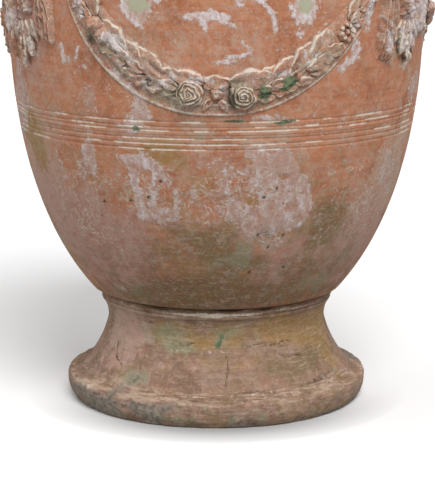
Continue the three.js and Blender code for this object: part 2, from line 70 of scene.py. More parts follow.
import bmesh
import bpy
import numpy as np

MM = 0.001
print("solids in the frame:", len(frame["nodes"]))

# %% [markdown]
# ## The curve of the body
# Bowl and wall were thrown to one rounded outline, widest just above the hanging garlands. It could be
# drawn by hand as a spline, but one formula, a squared-off ellipse, also tells the garlands how to bend
# round the body and the stains where they lie. So the formula comes first.

# %% Levels and the body's radius
FOOT_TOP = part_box("foot")[1].z / MM
BODY_BASE, COIL_TOP = (corner.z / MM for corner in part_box("joint_coil"))
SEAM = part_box("wall")[0].z / MM
RIM_BASE, TOP = (corner.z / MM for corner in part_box("rim"))
FILM = BODY_BASE - FOOT_TOP
WALL_TOP = RIM_BASE - FILM
BELLY_RADIUS = 266.5
BELLY_Z = SEAM - FILM + 140
FULLNESS = 2.24
BASE_RADIUS = 150
NECK_RADIUS = 250
WALL_THICKNESS = 22


def curve_depth(height, radius):
    """Depth of the quarter curve that shrinks from the belly to a radius over a height."""
    return height / (1 - (radius / BELLY_RADIUS) ** FULLNESS) ** (1 / FULLNESS)


LOWER_DEPTH = curve_depth(BELLY_Z - BODY_BASE, BASE_RADIUS)
UPPER_DEPTH = curve_depth(WALL_TOP - BELLY_Z, NECK_RADIUS)


def body_radius(z):
    """Outer radius of bowl and wall at a height."""
    share = np.minimum(np.abs(z - BELLY_Z) / np.where(z < BELLY_Z, LOWER_DEPTH, UPPER_DEPTH), 1)
    return BELLY_RADIUS * (1 - share**FULLNESS) ** (1 / FULLNESS)


print(f"body from {BODY_BASE:.1f} to {WALL_TOP:.1f} mm, radius at the seam {body_radius(SEAM):.1f} mm")

# %% [markdown]
# ## Short ways to write node trees
# Every shape that follows a rule is made by Geometry Nodes, and every finish by shader nodes. Written out
# in full, a tree is long to read, so a small class adds a node, fills its sockets and joins it in one
# line.

# %% Node helpers
def pin(sockets, name):
    """The socket of that name that is in use."""
    return next(s for s in sockets if s.name == name and s.enabled)


class Tree:
    """A node tree with a short way to add nodes."""

    def __init__(self, tree):
        self.tree = tree

    def add(self, kind, sockets=(), **settings):
        node = self.tree.nodes.new(kind)
        for name, value in settings.items():
            setattr(node, name, value)
        for name, value in dict(sockets).items():
            socket = node.inputs[name] if isinstance(name, int) else pin(node.inputs, name)
            if isinstance(value, bpy.types.NodeSocket):
                self.tree.links.new(value, socket)
            else:
                socket.default_value = value
        return node

    def math(self, operation, *values):
        return self.add("ShaderNodeMath", enumerate(values), operation=operation).outputs[0]

    def vector(self, x, y, z):
        return self.add("ShaderNodeCombineXYZ", {"X": x, "Y": y, "Z": z}).outputs[0]

    def parts(self, vector):
        return self.add("ShaderNodeSeparateXYZ", {"Vector": vector}).outputs

    def position(self):
        return self.add("GeometryNodeInputPosition").outputs[0]

    def carried(self, name, kind="FLOAT"):
        """An attribute that the points carry."""
        return self.add("GeometryNodeInputNamedAttribute", {"Name": name}, data_type=kind).outputs[0]


print("node helper ready")

# %% [markdown]
# ## From a tree to a piece
# A geometry tree works on an object through a modifier. The modifier could stay, but the pieces have to
# be plain meshes in the end. So a helper makes the object, sets the tree's named inputs, takes the mesh
# that comes out and removes the modifier again.

# %% Geometry helpers
def geometry_tree(name, inputs):
    """A new geometry tree with named inputs; gives the tree and the sockets of its group input."""
    group = bpy.data.node_groups.new(name, "GeometryNodeTree")
    group.interface.new_socket("Geometry", in_out="INPUT", socket_type="NodeSocketGeometry")
    for label, kind in inputs.items():
        group.interface.new_socket(label, in_out="INPUT", socket_type="NodeSocket" + kind)
    group.interface.new_socket("Geometry", in_out="OUTPUT", socket_type="NodeSocketGeometry")
    tree = Tree(group)
    return tree, tree.add("NodeGroupInput").outputs


def swept_grid(tree, section, columns):
    """A grid with a row for each point of a section; gives it, its columns and a way to read rows."""
    rows = tree.add("GeometryNodeAttributeDomainSize", {"Geometry": section}).outputs["Point Count"]
    grid_rows = tree.math("ADD", rows, 1)
    grid = tree.add("GeometryNodeMeshGrid", {"Vertices X": columns, "Vertices Y": grid_rows}).outputs[0]
    index = tree.add("GeometryNodeInputIndex").outputs[0]
    column = tree.math("FLOOR", tree.math("DIVIDE", index, grid_rows))
    row = tree.math("MODULO", tree.math("MODULO", index, grid_rows), rows)

    def sampled(value, kind="FLOAT"):
        sockets = {"Geometry": section, "Value": value, "Index": row}
        return tree.add("GeometryNodeSampleIndex", sockets, data_type=kind).outputs[0]

    return grid, column, sampled


def close_tree(tree, geometry, material):
    """Ends a tree: instances made real, one material, smooth faces."""
    real = tree.add("GeometryNodeRealizeInstances", {"Geometry": geometry}).outputs[0]
    smooth = tree.add("GeometryNodeSetShadeSmooth", {"Geometry": real, "Shade Smooth": True}).outputs[0]
    done = tree.add("GeometryNodeSetMaterial", {"Geometry": smooth, "Material": material}).outputs[0]
    tree.add("NodeGroupOutput", {"Geometry": done})


def grown(name, mesh, tree, values):
    """An object run through a geometry tree and baked to a plain mesh."""
    piece = bpy.data.objects.new(name, mesh)
    bpy.context.scene.collection.objects.link(piece)
    modifier = piece.modifiers.new("Shape", "NODES")
    modifier.node_group = tree.tree
    for item in tree.tree.interface.items_tree:
        if item.in_out == "INPUT" and item.name in values:
            modifier[item.identifier] = values[item.name]
    graph = bpy.context.evaluated_depsgraph_get()
    shaped = piece.evaluated_get(graph)
    baked = bpy.data.meshes.new_from_object(shaped, preserve_all_data_layers=True, depsgraph=graph)
    piece.modifiers.remove(modifier)
    piece.data = baked
    return piece


print("geometry helpers ready")

# %% [markdown]
# ## Fired clay and a century outdoors
# The clay is orange, with fine turning lines. Over it lie dust, films and moss, the remains of a white
# slip, drops of green glaze and lichen. An image texture could show that, but procedural layers stay
# sharp at any size and reach the unseen side too. Each layer has an attribute, painted on the points
# later, which says how likely the layer is there, and noise breaks its edge up.

# %% Shader helpers
def colour(red, green, blue):
    """A linear colour from screen values of 0 to 255."""
    values = np.array([red, green, blue]) / 255
    linear = np.where(values <= 0.04045, values / 12.92, ((values + 0.055) / 1.055) ** 2.4)
    return (*(float(v) for v in linear), 1)


class Finish(Tree):
    """A material's tree with the textures and mixes that the layers need."""

    def place(self):
        return self.add("ShaderNodeTexCoord").outputs["Object"]

    def noise(self, scale, detail=4, roughness=0.55, stretch=(1, 1, 1), shift=0.0, warp=0.0):
        sockets = {"Vector": self.place(), "Scale": stretch, "Location": (shift,) * 3}
        moved = self.add("ShaderNodeMapping", sockets).outputs[0]
        sockets = {"Vector": moved, "Scale": scale, "Detail": detail, "Roughness": roughness}
        return self.add("ShaderNodeTexNoise", {**sockets, "Distortion": warp}).outputs[0]

    def painted(self, name):
        return self.add("ShaderNodeAttribute", attribute_name=name).outputs["Fac"]

    def step(self, value, low, high, bottom=0.0, top=1.0):
        sockets = {"Value": value, "From Min": low, "From Max": high, "To Min": bottom, "To Max": top}
        return self.add("ShaderNodeMapRange", sockets, interpolation_type="SMOOTHSTEP").outputs[0]

    def ridge(self, value, centre, half):
        """A thin line where a value crosses a centre."""
        return self.step(self.math("ABSOLUTE", self.math("SUBTRACT", value, centre)), half, 0.0)

    def total(self, *pairs):
        """The sum of values, each with its weight."""
        result = self.math("MULTIPLY", *pairs[0])
        for value, weight in pairs[1:]:
            result = self.math("MULTIPLY_ADD", value, weight, result)
        return result

    def specks(self, scale, size, share):
        """Round spots of a size in a share of the cells of a scattered pattern."""
        cells = self.add("ShaderNodeTexVoronoi", {"Vector": self.place(), "Scale": scale}).outputs
        picked = self.math("LESS_THAN", self.parts(cells["Color"])[0], share)
        return self.math("MULTIPLY", self.step(cells["Distance"], size, size / 2), picked)

    def mix(self, factor, under, over):
        return self.add("ShaderNodeMix", {0: factor, 6: under, 7: over}, data_type="RGBA").outputs[2]

    def chance(self, name, *noises):
        """How likely a layer is: its attribute plus weighted noises about zero."""
        weights = sum(weight for _, weight in noises)
        return self.math("SUBTRACT", self.total((self.painted(name), 1.0), *noises), weights / 2)

    def layer(self, coat, tone, name, noises, low, high, most=1.0):
        """Lays a tone over a coat where the layer is likely."""
        return self.mix(self.step(self.chance(name, *noises), low, high, 0.0, most), coat, tone)


def empty_finish(block):
    """The cleared node tree of a material or a world."""
    block.use_nodes = True
    block.node_tree.nodes.clear()
    return Finish(block.node_tree)


print("shader helpers ready")

# %% [markdown]
# ## The bare clay
# Terracotta leaves the kiln in darker and lighter orange, and throwing leaves fine rings in it. One noise
# could colour it, but a broad, a mottled and a fine one together look less even. Where the weather got
# at it, pink, olive and grey wander through. Colours are screen values, which the eye can compare.

# %% Shared noises and bare clay
HUES = ((43.0, colour(184, 132, 118)), (47.0, colour(156, 134, 94)), (53.0, colour(174, 154, 140)))


def clay_noises(clay):
    """The noises that several layers share."""

    def settling(shift):
        return clay.noise(27, 7, 0.62, shift=shift, warp=0.8)

    return SimpleNamespace(
        broad=clay.noise(7, 4),
        mottle=clay.noise(24, 7, 0.65, shift=11.0, warp=0.6),
        flake=clay.noise(42, 9, 0.62, shift=3.0, warp=0.9),
        fine=clay.noise(170, 6, 0.62, shift=7.0),
        grain=clay.noise(800, 3, 0.6),
        turning=clay.noise(1, 5, 0.6, stretch=(6, 6, 190)),
        dashes=clay.noise(1, 4, 0.6, stretch=(48, 48, 420), shift=5.0),
        runs=clay.noise(1, 6, 0.65, stretch=(110, 110, 34), shift=61.0, warp=0.4),
        dusty=settling(13.0),
        pinkish=settling(19.0),
        filmy=settling(23.0),
        yellow=settling(29.0),
    )


def bare_clay(clay, noises, dark, middle, light):
    """Fired clay in three tones, with turning lines, grain and wandering hues."""
    tone = clay.total((noises.broad, 0.4), (noises.mottle, 0.6))
    bare = clay.mix(clay.step(tone, 0.34, 0.5), dark, middle)
    bare = clay.mix(clay.step(tone, 0.5, 0.68), bare, light)
    bare = clay.mix(clay.step(noises.turning, 0.42, 0.66, 0.0, 0.35), bare, dark)
    bare = clay.mix(clay.step(noises.fine, 0.5, 0.75, 0.0, 0.4), bare, light)
    bare = clay.mix(clay.step(noises.grain, 0.4, 0.75, 0.0, 0.25), bare, dark)
    weather = clay.painted("weather")
    for shift, hue in HUES:
        wander = clay.step(clay.noise(24, 8, 0.68, shift=shift, warp=0.8), 0.47, 0.68)
        bare = clay.mix(clay.math("MULTIPLY", wander, weather), bare, hue)
    return bare


print("wandering hues:", len(HUES))

# %% [markdown]
# ## What settled on the clay
# Rain left dust, a pink bloom and films of brown and ochre, and moss grew where water stays. Short pale
# and dark dashes follow the turning. One dirt layer could stand for all, but here each lies over the one
# before and is broken up by its own mix of noises, so that no two end at the same edge. On the foot dust
# and brown film also stand for light and shade: painted light on the plinth's ledge and under the joint,
# and painted shade on the plinth's side and on the foot's right side.

# %% Dust, films, moss, painted light and shade
# DUST also serves as painted light on the foot, and the two brown films as painted shade there.
DUST = colour(190, 166, 147)
BLOOM = colour(182, 145, 133)
OLIVE_FILM = colour(124, 110, 78)
BROWN_FILM = colour(118, 93, 68)
OCHRE_FILM = colour(156, 124, 76)
MOSS = colour(138, 142, 114)


def settled(clay, noises, coat, dark):
    """Dust, bloom, films, moss and dashes over a coat; dust and film also paint light and shade on the
    foot.
    """
    # Dust, and painted light where marks make the plinth's ledge paler and lift the shade under the
    # joint.
    coat = clay.layer(coat, DUST, "dust", [(noises.dusty, 2.0), (noises.fine, 1.2)], 0.25, 0.85, 0.7)
    coat = clay.layer(coat, BLOOM, "pink", [(noises.pinkish, 2.0), (noises.fine, 1.0)], 0.2, 0.85, 0.8)
    # Film, and painted shade where marks darken the plinth's side and the foot's right side.
    brownness = clay.step(clay.total((noises.mottle, 0.6), (noises.fine, 0.4)), 0.4, 0.6)
    film = clay.mix(brownness, OLIVE_FILM, BROWN_FILM)
    film_noises = [(noises.filmy, 2.2), (noises.turning, 0.4), (noises.fine, 1.0)]
    coat = clay.layer(coat, film, "film", film_noises, 0.0, 1.05, 0.92)
    ochre_noises = [(noises.yellow, 1.6), (noises.fine, 0.9)]
    coat = clay.layer(coat, OCHRE_FILM, "ochre", ochre_noises, 0.15, 0.8, 0.8)
    coat = clay.layer(coat, MOSS, "moss", [(noises.dusty, 1.8), (noises.fine, 1.2)], 0.2, 0.9, 0.72)
    streak = clay.math("MULTIPLY", clay.step(noises.dashes, 0.56, 0.7, 0.0, 0.5), clay.painted("film"))
    coat = clay.mix(streak, coat, DUST)
    lines = clay.total((noises.dashes, 0.75), (noises.fine, 0.25))
    pale_line = clay.math("MULTIPLY", clay.step(lines, 0.5, 0.6), clay.painted("lines"))
    coat = clay.mix(pale_line, coat, DUST)
    dark_line = clay.math("MULTIPLY", clay.step(lines, 0.46, 0.36), clay.painted("lines"))
    return clay.mix(dark_line, coat, dark)


print("settled layers ready")

# %% [markdown]
# ## The white slip
# Slip is liquid clay. What is left of it is streaked where rain ran down, pink where it wore thin, and
# ends in a pale broken edge. A plain mask would look cut out, so a pink halo leads up to it and the
# streaks wear it through. Curly pale and dark scratches and fine grit lie over slip and clay alike.

# %% Slip, scratches and grit
SLIP_WHITE = colour(222, 214, 217)
SLIP_PINK = colour(184, 155, 143)
CREAM = colour(230, 219, 203)


def slip_coat(clay, noises, coat, dark):
    """The remains of the slip over a coat; gives the new coat and where the slip is."""
    chance = clay.chance("slip", (noises.flake, 2.0), (noises.fine, 1.4))
    slip = clay.step(chance, 0.42, 0.62)
    coat = clay.mix(clay.step(chance, 0.12, 0.5, 0.0, 0.45), coat, SLIP_PINK)
    whiteness = clay.total((noises.runs, 0.7), (noises.fine, 0.5), (clay.painted("white"), 0.26))
    slip_tone = clay.mix(clay.step(whiteness, 0.56, 0.88), SLIP_PINK, SLIP_WHITE)
    worn = clay.total((noises.pinkish, 0.3), (noises.runs, 0.4), (noises.fine, 0.4))
    worn = clay.step(worn, 0.44, 0.6, 0.3, 0.98)
    coat = clay.mix(clay.math("MULTIPLY", slip, worn), coat, slip_tone)
    # Painted shadow: a thin dark line just outside the slip's edge, as the flake's thickness would cast.
    coat = clay.mix(clay.math("MULTIPLY", clay.ridge(chance, 0.37, 0.05), 0.25), coat, dark)
    broken = clay.step(clay.total((noises.dusty, 0.5), (noises.fine, 0.5)), 0.4, 0.56, 0.1, 0.8)
    return clay.mix(clay.math("MULTIPLY", clay.ridge(chance, 0.5, 0.06), broken), coat, CREAM), slip


def scratched(clay, noises, coat, dark, curls):
    """Curly scratches over a coat; gives the new coat and where the pale ones are."""
    chance = clay.chance("tangle", (noises.pinkish, 2.0), (noises.fine, 2.0))
    tangled = clay.step(chance, 0.3, 0.6, 0.0, 0.6)
    scratch = clay.ridge(clay.noise(curls * 1.2, 3, 0.55, shift=59.0, warp=1.6), 0.5, 0.03)
    coat = clay.mix(clay.math("MULTIPLY", scratch, tangled), coat, dark)
    curl = clay.ridge(clay.noise(curls, 4, 0.55, shift=17.0, warp=1.6), 0.5, 0.03)
    tangle = clay.math("MULTIPLY", curl, tangled)
    return clay.mix(tangle, coat, CREAM), tangle


def gritty(clay, noises, coat, dark, grit):
    """Pale edges and pale and dark grit over a coat."""
    coat = clay.layer(coat, CREAM, "edge", [(noises.flake, 1.6), (noises.fine, 1.3)], 0.3, 0.8, 0.8)
    cloud = clay.noise(85, 6, 0.68, shift=41.0, warp=0.5)
    coat = clay.mix(clay.step(cloud, 0.48, 0.72, 0.0, grit), coat, DUST)
    coat = clay.mix(clay.step(cloud, 0.5, 0.28, 0.0, grit), coat, dark)
    coat = clay.mix(clay.step(clay.noise(330, 4, 0.6, shift=31.0), 0.54, 0.7, 0.0, grit), coat, DUST)
    return clay.mix(clay.step(clay.noise(240, 4, 0.6, shift=37.0), 0.55, 0.7, 0.0, grit), coat, dark)


print("slip, scratches and grit ready")

# %% [markdown]
# ## Lichen, glaze and pits, and the three finishes
# Grey lichen sits on the plinth, drops of green glaze lie here and there, hollows are darkened by dirt
# and painted shade, and small pits have opened, dark with painted shade. They lie over all else, so they
# come last. The bump follows slip, rings, grain and pits. Three materials could be built by hand, but
# body, foot and relief differ only in clay tones, grit, dots and how close the scratches lie, so one
# function makes all three.

# %% The weathered clay
GLAZE_DARK = colour(40, 72, 54)
GLAZE_LIGHT = colour(104, 124, 88)
GLAZE_PALE = colour(172, 172, 144)
LICHEN = colour(146, 138, 128)
LICHEN_DARK = colour(98, 93, 85)
# CREVICE darkens hollows, cracks, pits and the joint: partly dirt, partly painted shade.
CREVICE = colour(62, 52, 40)
BUMP_STRENGTH = 0.6
BUMP_DEPTH = 1.2
CLAY_ROUGHNESS = 0.88
GLAZE_SHINE = 0.4
CLAY_SPECULAR = 0.25


def overgrown(clay, noises, coat):
    """Lichen and glaze over a coat; gives the new coat and where the glaze is."""
    lichen_tone = clay.mix(clay.step(noises.fine, 0.4, 0.62), LICHEN, LICHEN_DARK)
    lichen_noises = [(noises.mottle, 1.2), (noises.fine, 1.2)]
    coat = clay.layer(coat, lichen_tone, "lichen", lichen_noises, 0.25, 0.8, 0.8)
    glaze = clay.step(clay.chance("glaze", (noises.flake, 1.4), (noises.fine, 2.0)), 0.42, 0.58)
    depth = clay.step(clay.total((noises.flake, 0.5), (noises.fine, 0.5)), 0.44, 0.6)
    glaze_tone = clay.mix(depth, GLAZE_DARK, GLAZE_LIGHT)
    glaze_tone = clay.mix(clay.step(clay.painted("pale"), 0.2, 0.8), glaze_tone, GLAZE_PALE)
    return clay.mix(clay.math("MULTIPLY", glaze, 0.9), coat, glaze_tone), glaze


def weathered_clay(name, dark, middle, light, grit, dotted, curls):
    """A clay of three tones under all the layers; curls is how close the scratches lie."""
    material = bpy.data.materials.new(name)
    clay = empty_finish(material)
    noises = clay_noises(clay)
    coat = settled(clay, noises, bare_clay(clay, noises, dark, middle, light), dark)
    coat, slip = slip_coat(clay, noises, coat, dark)
    coat, tangle = scratched(clay, noises, coat, dark, curls)
    coat, glaze = overgrown(clay, noises, gritty(clay, noises, coat, dark, grit))
    # Hollows, cracks and the joint, where deep is painted: dirt and painted shade together.
    coat = clay.layer(coat, CREVICE, "deep", [(noises.fine, 0.6)], 0.2, 0.8, 0.85)
    # Pits: small spots of painted shade, also sunk by the bump.
    pits = clay.specks(42, 0.075, 0.14)
    coat = clay.mix(clay.math("MULTIPLY", pits, 0.75), coat, CREVICE)
    dots = clay.specks(75, 0.1, 0.1)
    coat = clay.mix(clay.math("MULTIPLY", dots, dotted), coat, CREAM)

    heights = [(slip, 0.7), (noises.fine, 0.9), (noises.grain, 0.35), (noises.turning, 0.4)]
    heights += [(tangle, 0.6), (pits, -1.2)]
    sockets = {"Strength": BUMP_STRENGTH, "Distance": BUMP_DEPTH * MM, "Height": clay.total(*heights)}
    bump = clay.add("ShaderNodeBump", sockets).outputs[0]
    roughness = clay.math("SUBTRACT", CLAY_ROUGHNESS, clay.math("MULTIPLY", glaze, GLAZE_SHINE))
    sockets = {"Base Color": coat, "Roughness": roughness, "Normal": bump}
    shader = clay.add("ShaderNodeBsdfPrincipled", sockets)
    shader.inputs["Specular IOR Level"].default_value = CLAY_SPECULAR
    clay.add("ShaderNodeOutputMaterial", {"Surface": shader.outputs[0]})
    return material


BODY_TONES = (colour(158, 98, 68), colour(193, 129, 96), colour(208, 155, 126))
FOOT_TONES = (colour(108, 82, 66), colour(140, 110, 92), colour(160, 133, 115))
RELIEF_TONES = (colour(138, 90, 66), colour(194, 134, 106), colour(212, 165, 141))
SLOTS = {
    "body_clay": weathered_clay("body clay", *BODY_TONES, grit=0.5, dotted=0.3, curls=46),
    "foot_clay": weathered_clay("foot clay", *FOOT_TONES, grit=0.3, dotted=0.25, curls=62),
    "relief_clay": weathered_clay("relief clay", *RELIEF_TONES, grit=0.4, dotted=0.4, curls=90),
}
print("finishes:", ", ".join(SLOTS))

# %% [markdown]
# ## Pieces turned on the wheel
# Foot, coil, bowl, wall and rim are solids of revolution. The Screw modifier would turn an outline too,
# but a geometry tree can also sway the wall a little and chip its edges, as a thrower's hand and a
# century of frost did. The tree lays a grid round the axis, takes each row's place from the outline and
# joins the seam.

# %% The turning tree
SWAY_SCALE = 14
FROST_SCALE = 55
FROST_START = 0.45
WELD = 0.005


def turning_tree():
    inputs = {"Steps": "Int", "Wobble": "Float", "Chips": "Float", "Material": "Material"}
    tree, given = geometry_tree("Turned piece", inputs)
    outline, steps, wobble, chips, material = given[:5]
    grid, column, sampled = swept_grid(tree, outline, tree.math("ADD", steps, 1))
    radius, _, height = tree.parts(sampled(tree.position(), "FLOAT_VECTOR"))
    wear = sampled(tree.carried("wear"))
    angle = tree.math("MULTIPLY", column, tree.math("DIVIDE", math.tau, steps))
    sine = tree.math("SINE", angle)
    cosine = tree.math("MULTIPLY", tree.math("COSINE", angle), -1)

    def round_axis(reach):
        x = tree.math("MULTIPLY", reach, sine)
        return tree.vector(x, tree.math("MULTIPLY", reach, cosine), height)

    def lumps(scale, detail):
        sockets = {"Vector": round_axis(radius), "Scale": scale, "Detail": detail}
        return tree.add("ShaderNodeTexNoise", sockets).outputs[0]

    sway = tree.math("SUBTRACT", lumps(SWAY_SCALE, 3), 0.5)
    swayed = tree.math("MULTIPLY", sway, tree.math("MULTIPLY", wobble, 2))
    frost = tree.math("MAXIMUM", tree.math("SUBTRACT", lumps(FROST_SCALE, 4), FROST_START), 0)
    bitten = tree.math("MULTIPLY", tree.math("MULTIPLY", frost, chips), wear)
    worn = round_axis(tree.math("SUBTRACT", tree.math("ADD", radius, swayed), bitten))
    moved = tree.add("GeometryNodeSetPosition", {"Geometry": grid, "Position": worn}).outputs[0]
    sockets = {"Geometry": moved, "Distance": WELD * MM}
    close_tree(tree, tree.add("GeometryNodeMergeByDistance", sockets).outputs[0], material)
    return tree


TURNED = turning_tree()
print("turning tree:", len(TURNED.tree.nodes), "nodes")

# %% [markdown]
# ## Outlines
# A turner checks the shape with a wooden rib cut to the section. The outlines here are such ribs: points
# up the outside and down the inside, closer where the eye goes. Each point also says how much the frost
# may chip it. A bezier curve could hold the shape, but would not carry that second value as simply.

# %% Outlines
FINE = 2.4
COARSE = 14
BELT_LINES = (395.5, 389.0, 384.5, 375.0, 368.3, 361.7)
GROOVE_DEPTH = 0.75
GROOVE_HALF = 1.0


def belt_groove(z):
    """Depth of the combed grooves at a height."""
    return sum(GROOVE_DEPTH * math.exp(-(((z - line) / GROOVE_HALF) ** 2)) for line in BELT_LINES)


class Outline:
    """The section of a turned piece: up its outside and down its inside, as radius and height."""

    def __init__(self, *start):
        self.points = [start]
        self.wear = [0.0]

    def line(self, radius, height, pitch=COARSE, wear=0.0):
        start = np.array(self.points[-1], float)
        end = np.array([radius, height], float)
        steps = max(1, round(np.linalg.norm(end - start) / pitch))
        for share in np.linspace(0, 1, steps + 1)[1:]:
            self.points.append(tuple(start + (end - start) * share))
            self.wear.append(wear)
        return self

    def curve(self, control, end, pitch=FINE, wear=0.0):
        start, control, end = (np.array(p, float) for p in (self.points[-1], control, end))
        length = np.linalg.norm(control - start) + np.linalg.norm(end - control)
        for t in np.linspace(0, 1, max(3, round(length / pitch)) + 1)[1:]:
            self.points.append(tuple((1 - t) ** 2 * start + 2 * t * (1 - t) * control + t * t * end))
            self.wear.append(wear)
        return self

    def body(self, top, pitch=FINE, inset=0.0):
        """Follows the body's curve to a height, with the combed grooves on the outside."""
        start = self.points[-1][1]
        steps = max(1, round(abs(top - start) / pitch))
        for z in np.linspace(start, top, steps + 1)[1:]:
            groove = 0.0 if inset else belt_groove(z)
            self.points.append((float(body_radius(z)) - inset - groove, float(z)))
            self.wear.append(0.0)
        return self

    def mesh(self, name):
        count = len(self.points)
        mesh = bpy.data.meshes.new(name)
        edges = [(i, (i + 1) % count) for i in range(count)]
        mesh.from_pydata([(r * MM, 0, z * MM) for r, z in self.points], edges, [])
        wear = mesh.attributes.new("wear", "FLOAT", "POINT")
        wear.data.foreach_set("value", self.wear)
        return mesh


print("combed belt of", len(BELT_LINES), "grooves")

# %% [markdown]
# ## Foot and coil
# The foot has a bulging plinth, a concave flare and a waist, and is hollow below. A roll of clay closes
# the joint to the bowl. The frame's solids could be bevelled instead, but a new outline gives each edge
# its own rounding and wear.

# %% Foot and coil
# radius of the foot's hollow at the sole and at its top
HOLLOW_LOW = 160
HOLLOW_HIGH = 108.5
SEAT_BORE = 96
SEAT_DEPTH = 24
COIL_INSIDE = 138


def foot_outline():
    line = Outline(HOLLOW_LOW, 0).line(184, 0, wear=0.4)
    line.curve((190, 0), (191.5, 5), 1.5, 1.0)  # lower edge of the plinth
    line.curve((196.5, 12), (197, 25), 2.0, 0.7)  # its bulge
    line.curve((197, 32.5), (193, 33.4), 0.9, 1.0)  # its upper edge
    line.line(180, 36.4, 1.8, 0.5)  # ledge
    line.curve((177.4, 36.8), (176.6, 39.8), 0.9, 0.8)  # step over the ledge
    line.curve((174, 41.5), (170, 45.5), 1.6, 0.2)  # hollow above the step
    line.curve((149.5, 73), (142.5, 104), 1.8)  # flare
    line.curve((142.5, 118), (148, 128), 1.8)  # waist
    line.curve((151.5, 130), (151, FOOT_TOP), 1.2, 0.2)  # seat of the bowl
    seat_floor = FOOT_TOP - SEAT_DEPTH
    return line.line(SEAT_BORE, FOOT_TOP).line(SEAT_BORE, seat_floor).line(HOLLOW_HIGH, seat_floor)


def coil_outline():
    line = Outline(COIL_INSIDE, BODY_BASE).line(150.6, BODY_BASE)
    line.curve((153, BODY_BASE + 2), (152.5, BODY_BASE + 4), 1.0, 1.0)  # round side
    line.curve((152, COIL_TOP - 1), (147, COIL_TOP), 1.0, 1.0)  # round top
    return line.line(COIL_INSIDE, COIL_TOP)


print("points in the foot's outline:", len(foot_outline().points))

# %% [markdown]
# ## Bowl and wall
# Bowl and wall were thrown apart and meet under the combed belt, with a tongue behind a lap. Outside and
# inside follow the body's curve, a wall's thickness apart. The bowl has a spigot for the bore of the
# foot, and a flat floor with a drain hole. One outline for both would be shorter, but without a joint.

# %% Bowl and wall
DRAIN = 20
LAP = WALL_THICKNESS / 2
TONGUE = 10
BELT_REACH = 20
BELT_PITCH = 0.7
FLOOR_RISE = 28
SPIGOT = 9
COVE = 26


def bowl_outline():
    skirt = COIL_TOP + FILM
    floor = BODY_BASE + FLOOR_RISE
    spigot = SEAT_BORE - FILM
    collar = COIL_INSIDE - FILM
    line = Outline(DRAIN, BODY_BASE - SPIGOT).line(spigot, BODY_BASE - SPIGOT).line(spigot, BODY_BASE)
    line.line(collar, BODY_BASE).line(collar, skirt).line(150, skirt, 4)
    line.curve((154, skirt + 0.5), (float(body_radius(skirt + 4)), skirt + 4), 1.2, 0.5)
    line.body(SEAM - FILM - BELT_REACH).body(SEAM - FILM, BELT_PITCH)
    lap = float(body_radius(SEAM)) - LAP
    line.line(lap, SEAM - FILM).line(lap, SEAM - FILM + TONGUE)
    line.line(float(body_radius(SEAM + TONGUE)) - WALL_THICKNESS, SEAM - FILM + TONGUE)
    line.body(floor + COVE, COARSE, WALL_THICKNESS)
    cove = float(body_radius(floor + COVE)) - WALL_THICKNESS
    return line.curve((cove - COVE / 2, floor), (cove - 2 * COVE, floor), COARSE).line(DRAIN, floor, 30)


def wall_outline():
    rebate = float(body_radius(SEAM)) - LAP + FILM
    top_lap = NECK_RADIUS - LAP
    line = Outline(rebate, SEAM).line(float(body_radius(SEAM)), SEAM, 6)
    line.body(SEAM + BELT_REACH, BELT_PITCH).body(WALL_TOP)
    line.line(top_lap, WALL_TOP).line(top_lap, WALL_TOP + TONGUE)
    inside = NECK_RADIUS - WALL_THICKNESS
    line.line(inside, WALL_TOP + TONGUE).line(inside, WALL_TOP)
    return line.body(SEAM + TONGUE, COARSE, WALL_THICKNESS).line(rebate, SEAM + TONGUE)


print("points in the bowl's outline:", len(bowl_outline().points))
print("points in the wall's outline:", len(wall_outline().points))

# %% [markdown]
# ## The rim, and all five on the wheel
# The rim has a bead at the neck and a broad lip, rounded and worn along its edges. With it all outlines
# are there. Each could have a tree of its own, but one tree turns them all, with other inputs for each.

# %% Rim and turning
BEAD = 7
LIP_RADIUS = NECK_RADIUS + 50
LIP_BASE = TOP - 44
LIP_ROUND = 13
MOUTH = LIP_RADIUS - 56


def rim_outline():
    rebate = NECK_RADIUS - LAP + FILM
    line = Outline(rebate, RIM_BASE).line(NECK_RADIUS, RIM_BASE)
    line.curve((NECK_RADIUS + 2 * BEAD, RIM_BASE + BEAD), (NECK_RADIUS, RIM_BASE + 2 * BEAD), 1.6, 0.2)
    line.curve((NECK_RADIUS, LIP_BASE - LIP_ROUND), (LIP_RADIUS - LIP_ROUND, LIP_BASE), 2.4)
    line.curve((LIP_RADIUS, LIP_BASE), (LIP_RADIUS, LIP_BASE + LIP_ROUND), 2.0, 0.6)
    line.line(LIP_RADIUS, TOP - LIP_ROUND, 2.4, 0.3)
    line.curve((LIP_RADIUS, TOP), (LIP_RADIUS - LIP_ROUND, TOP), 2.0, 0.8)
    line.line(MOUTH + LIP_ROUND, TOP, 3.0, 0.2).curve((MOUTH, TOP), (MOUTH, TOP - LIP_ROUND), 2.0, 0.6)
    return line.line(NECK_RADIUS - WALL_THICKNESS, RIM_BASE + TONGUE, 6).line(rebate, RIM_BASE + TONGUE)


# outline, finish slot, steps round the axis, wobble and chips in millimetres
TURNED_PIECES = {
    "foot": (foot_outline, "foot_clay", 600, 0.7, 9.0),
    "joint_coil": (coil_outline, "foot_clay", 480, 0.8, 12.0),
    "bowl": (bowl_outline, "body_clay", 560, 0.5, 6.0),
    "wall": (wall_outline, "body_clay", 560, 0.4, 0.0),
    "rim": (rim_outline, "body_clay", 420, 0.6, 6.0),
}
pieces = {}
for node, (outline, slot, steps, wobble, chips) in TURNED_PIECES.items():
    values = {"Steps": steps, "Wobble": wobble * MM, "Chips": chips * MM, "Material": SLOTS[slot]}
    pieces[node] = grown("thrown_" + node, outline().mesh(node), TURNED, values)
    print(node, len(pieces[node].data.polygons), "faces")
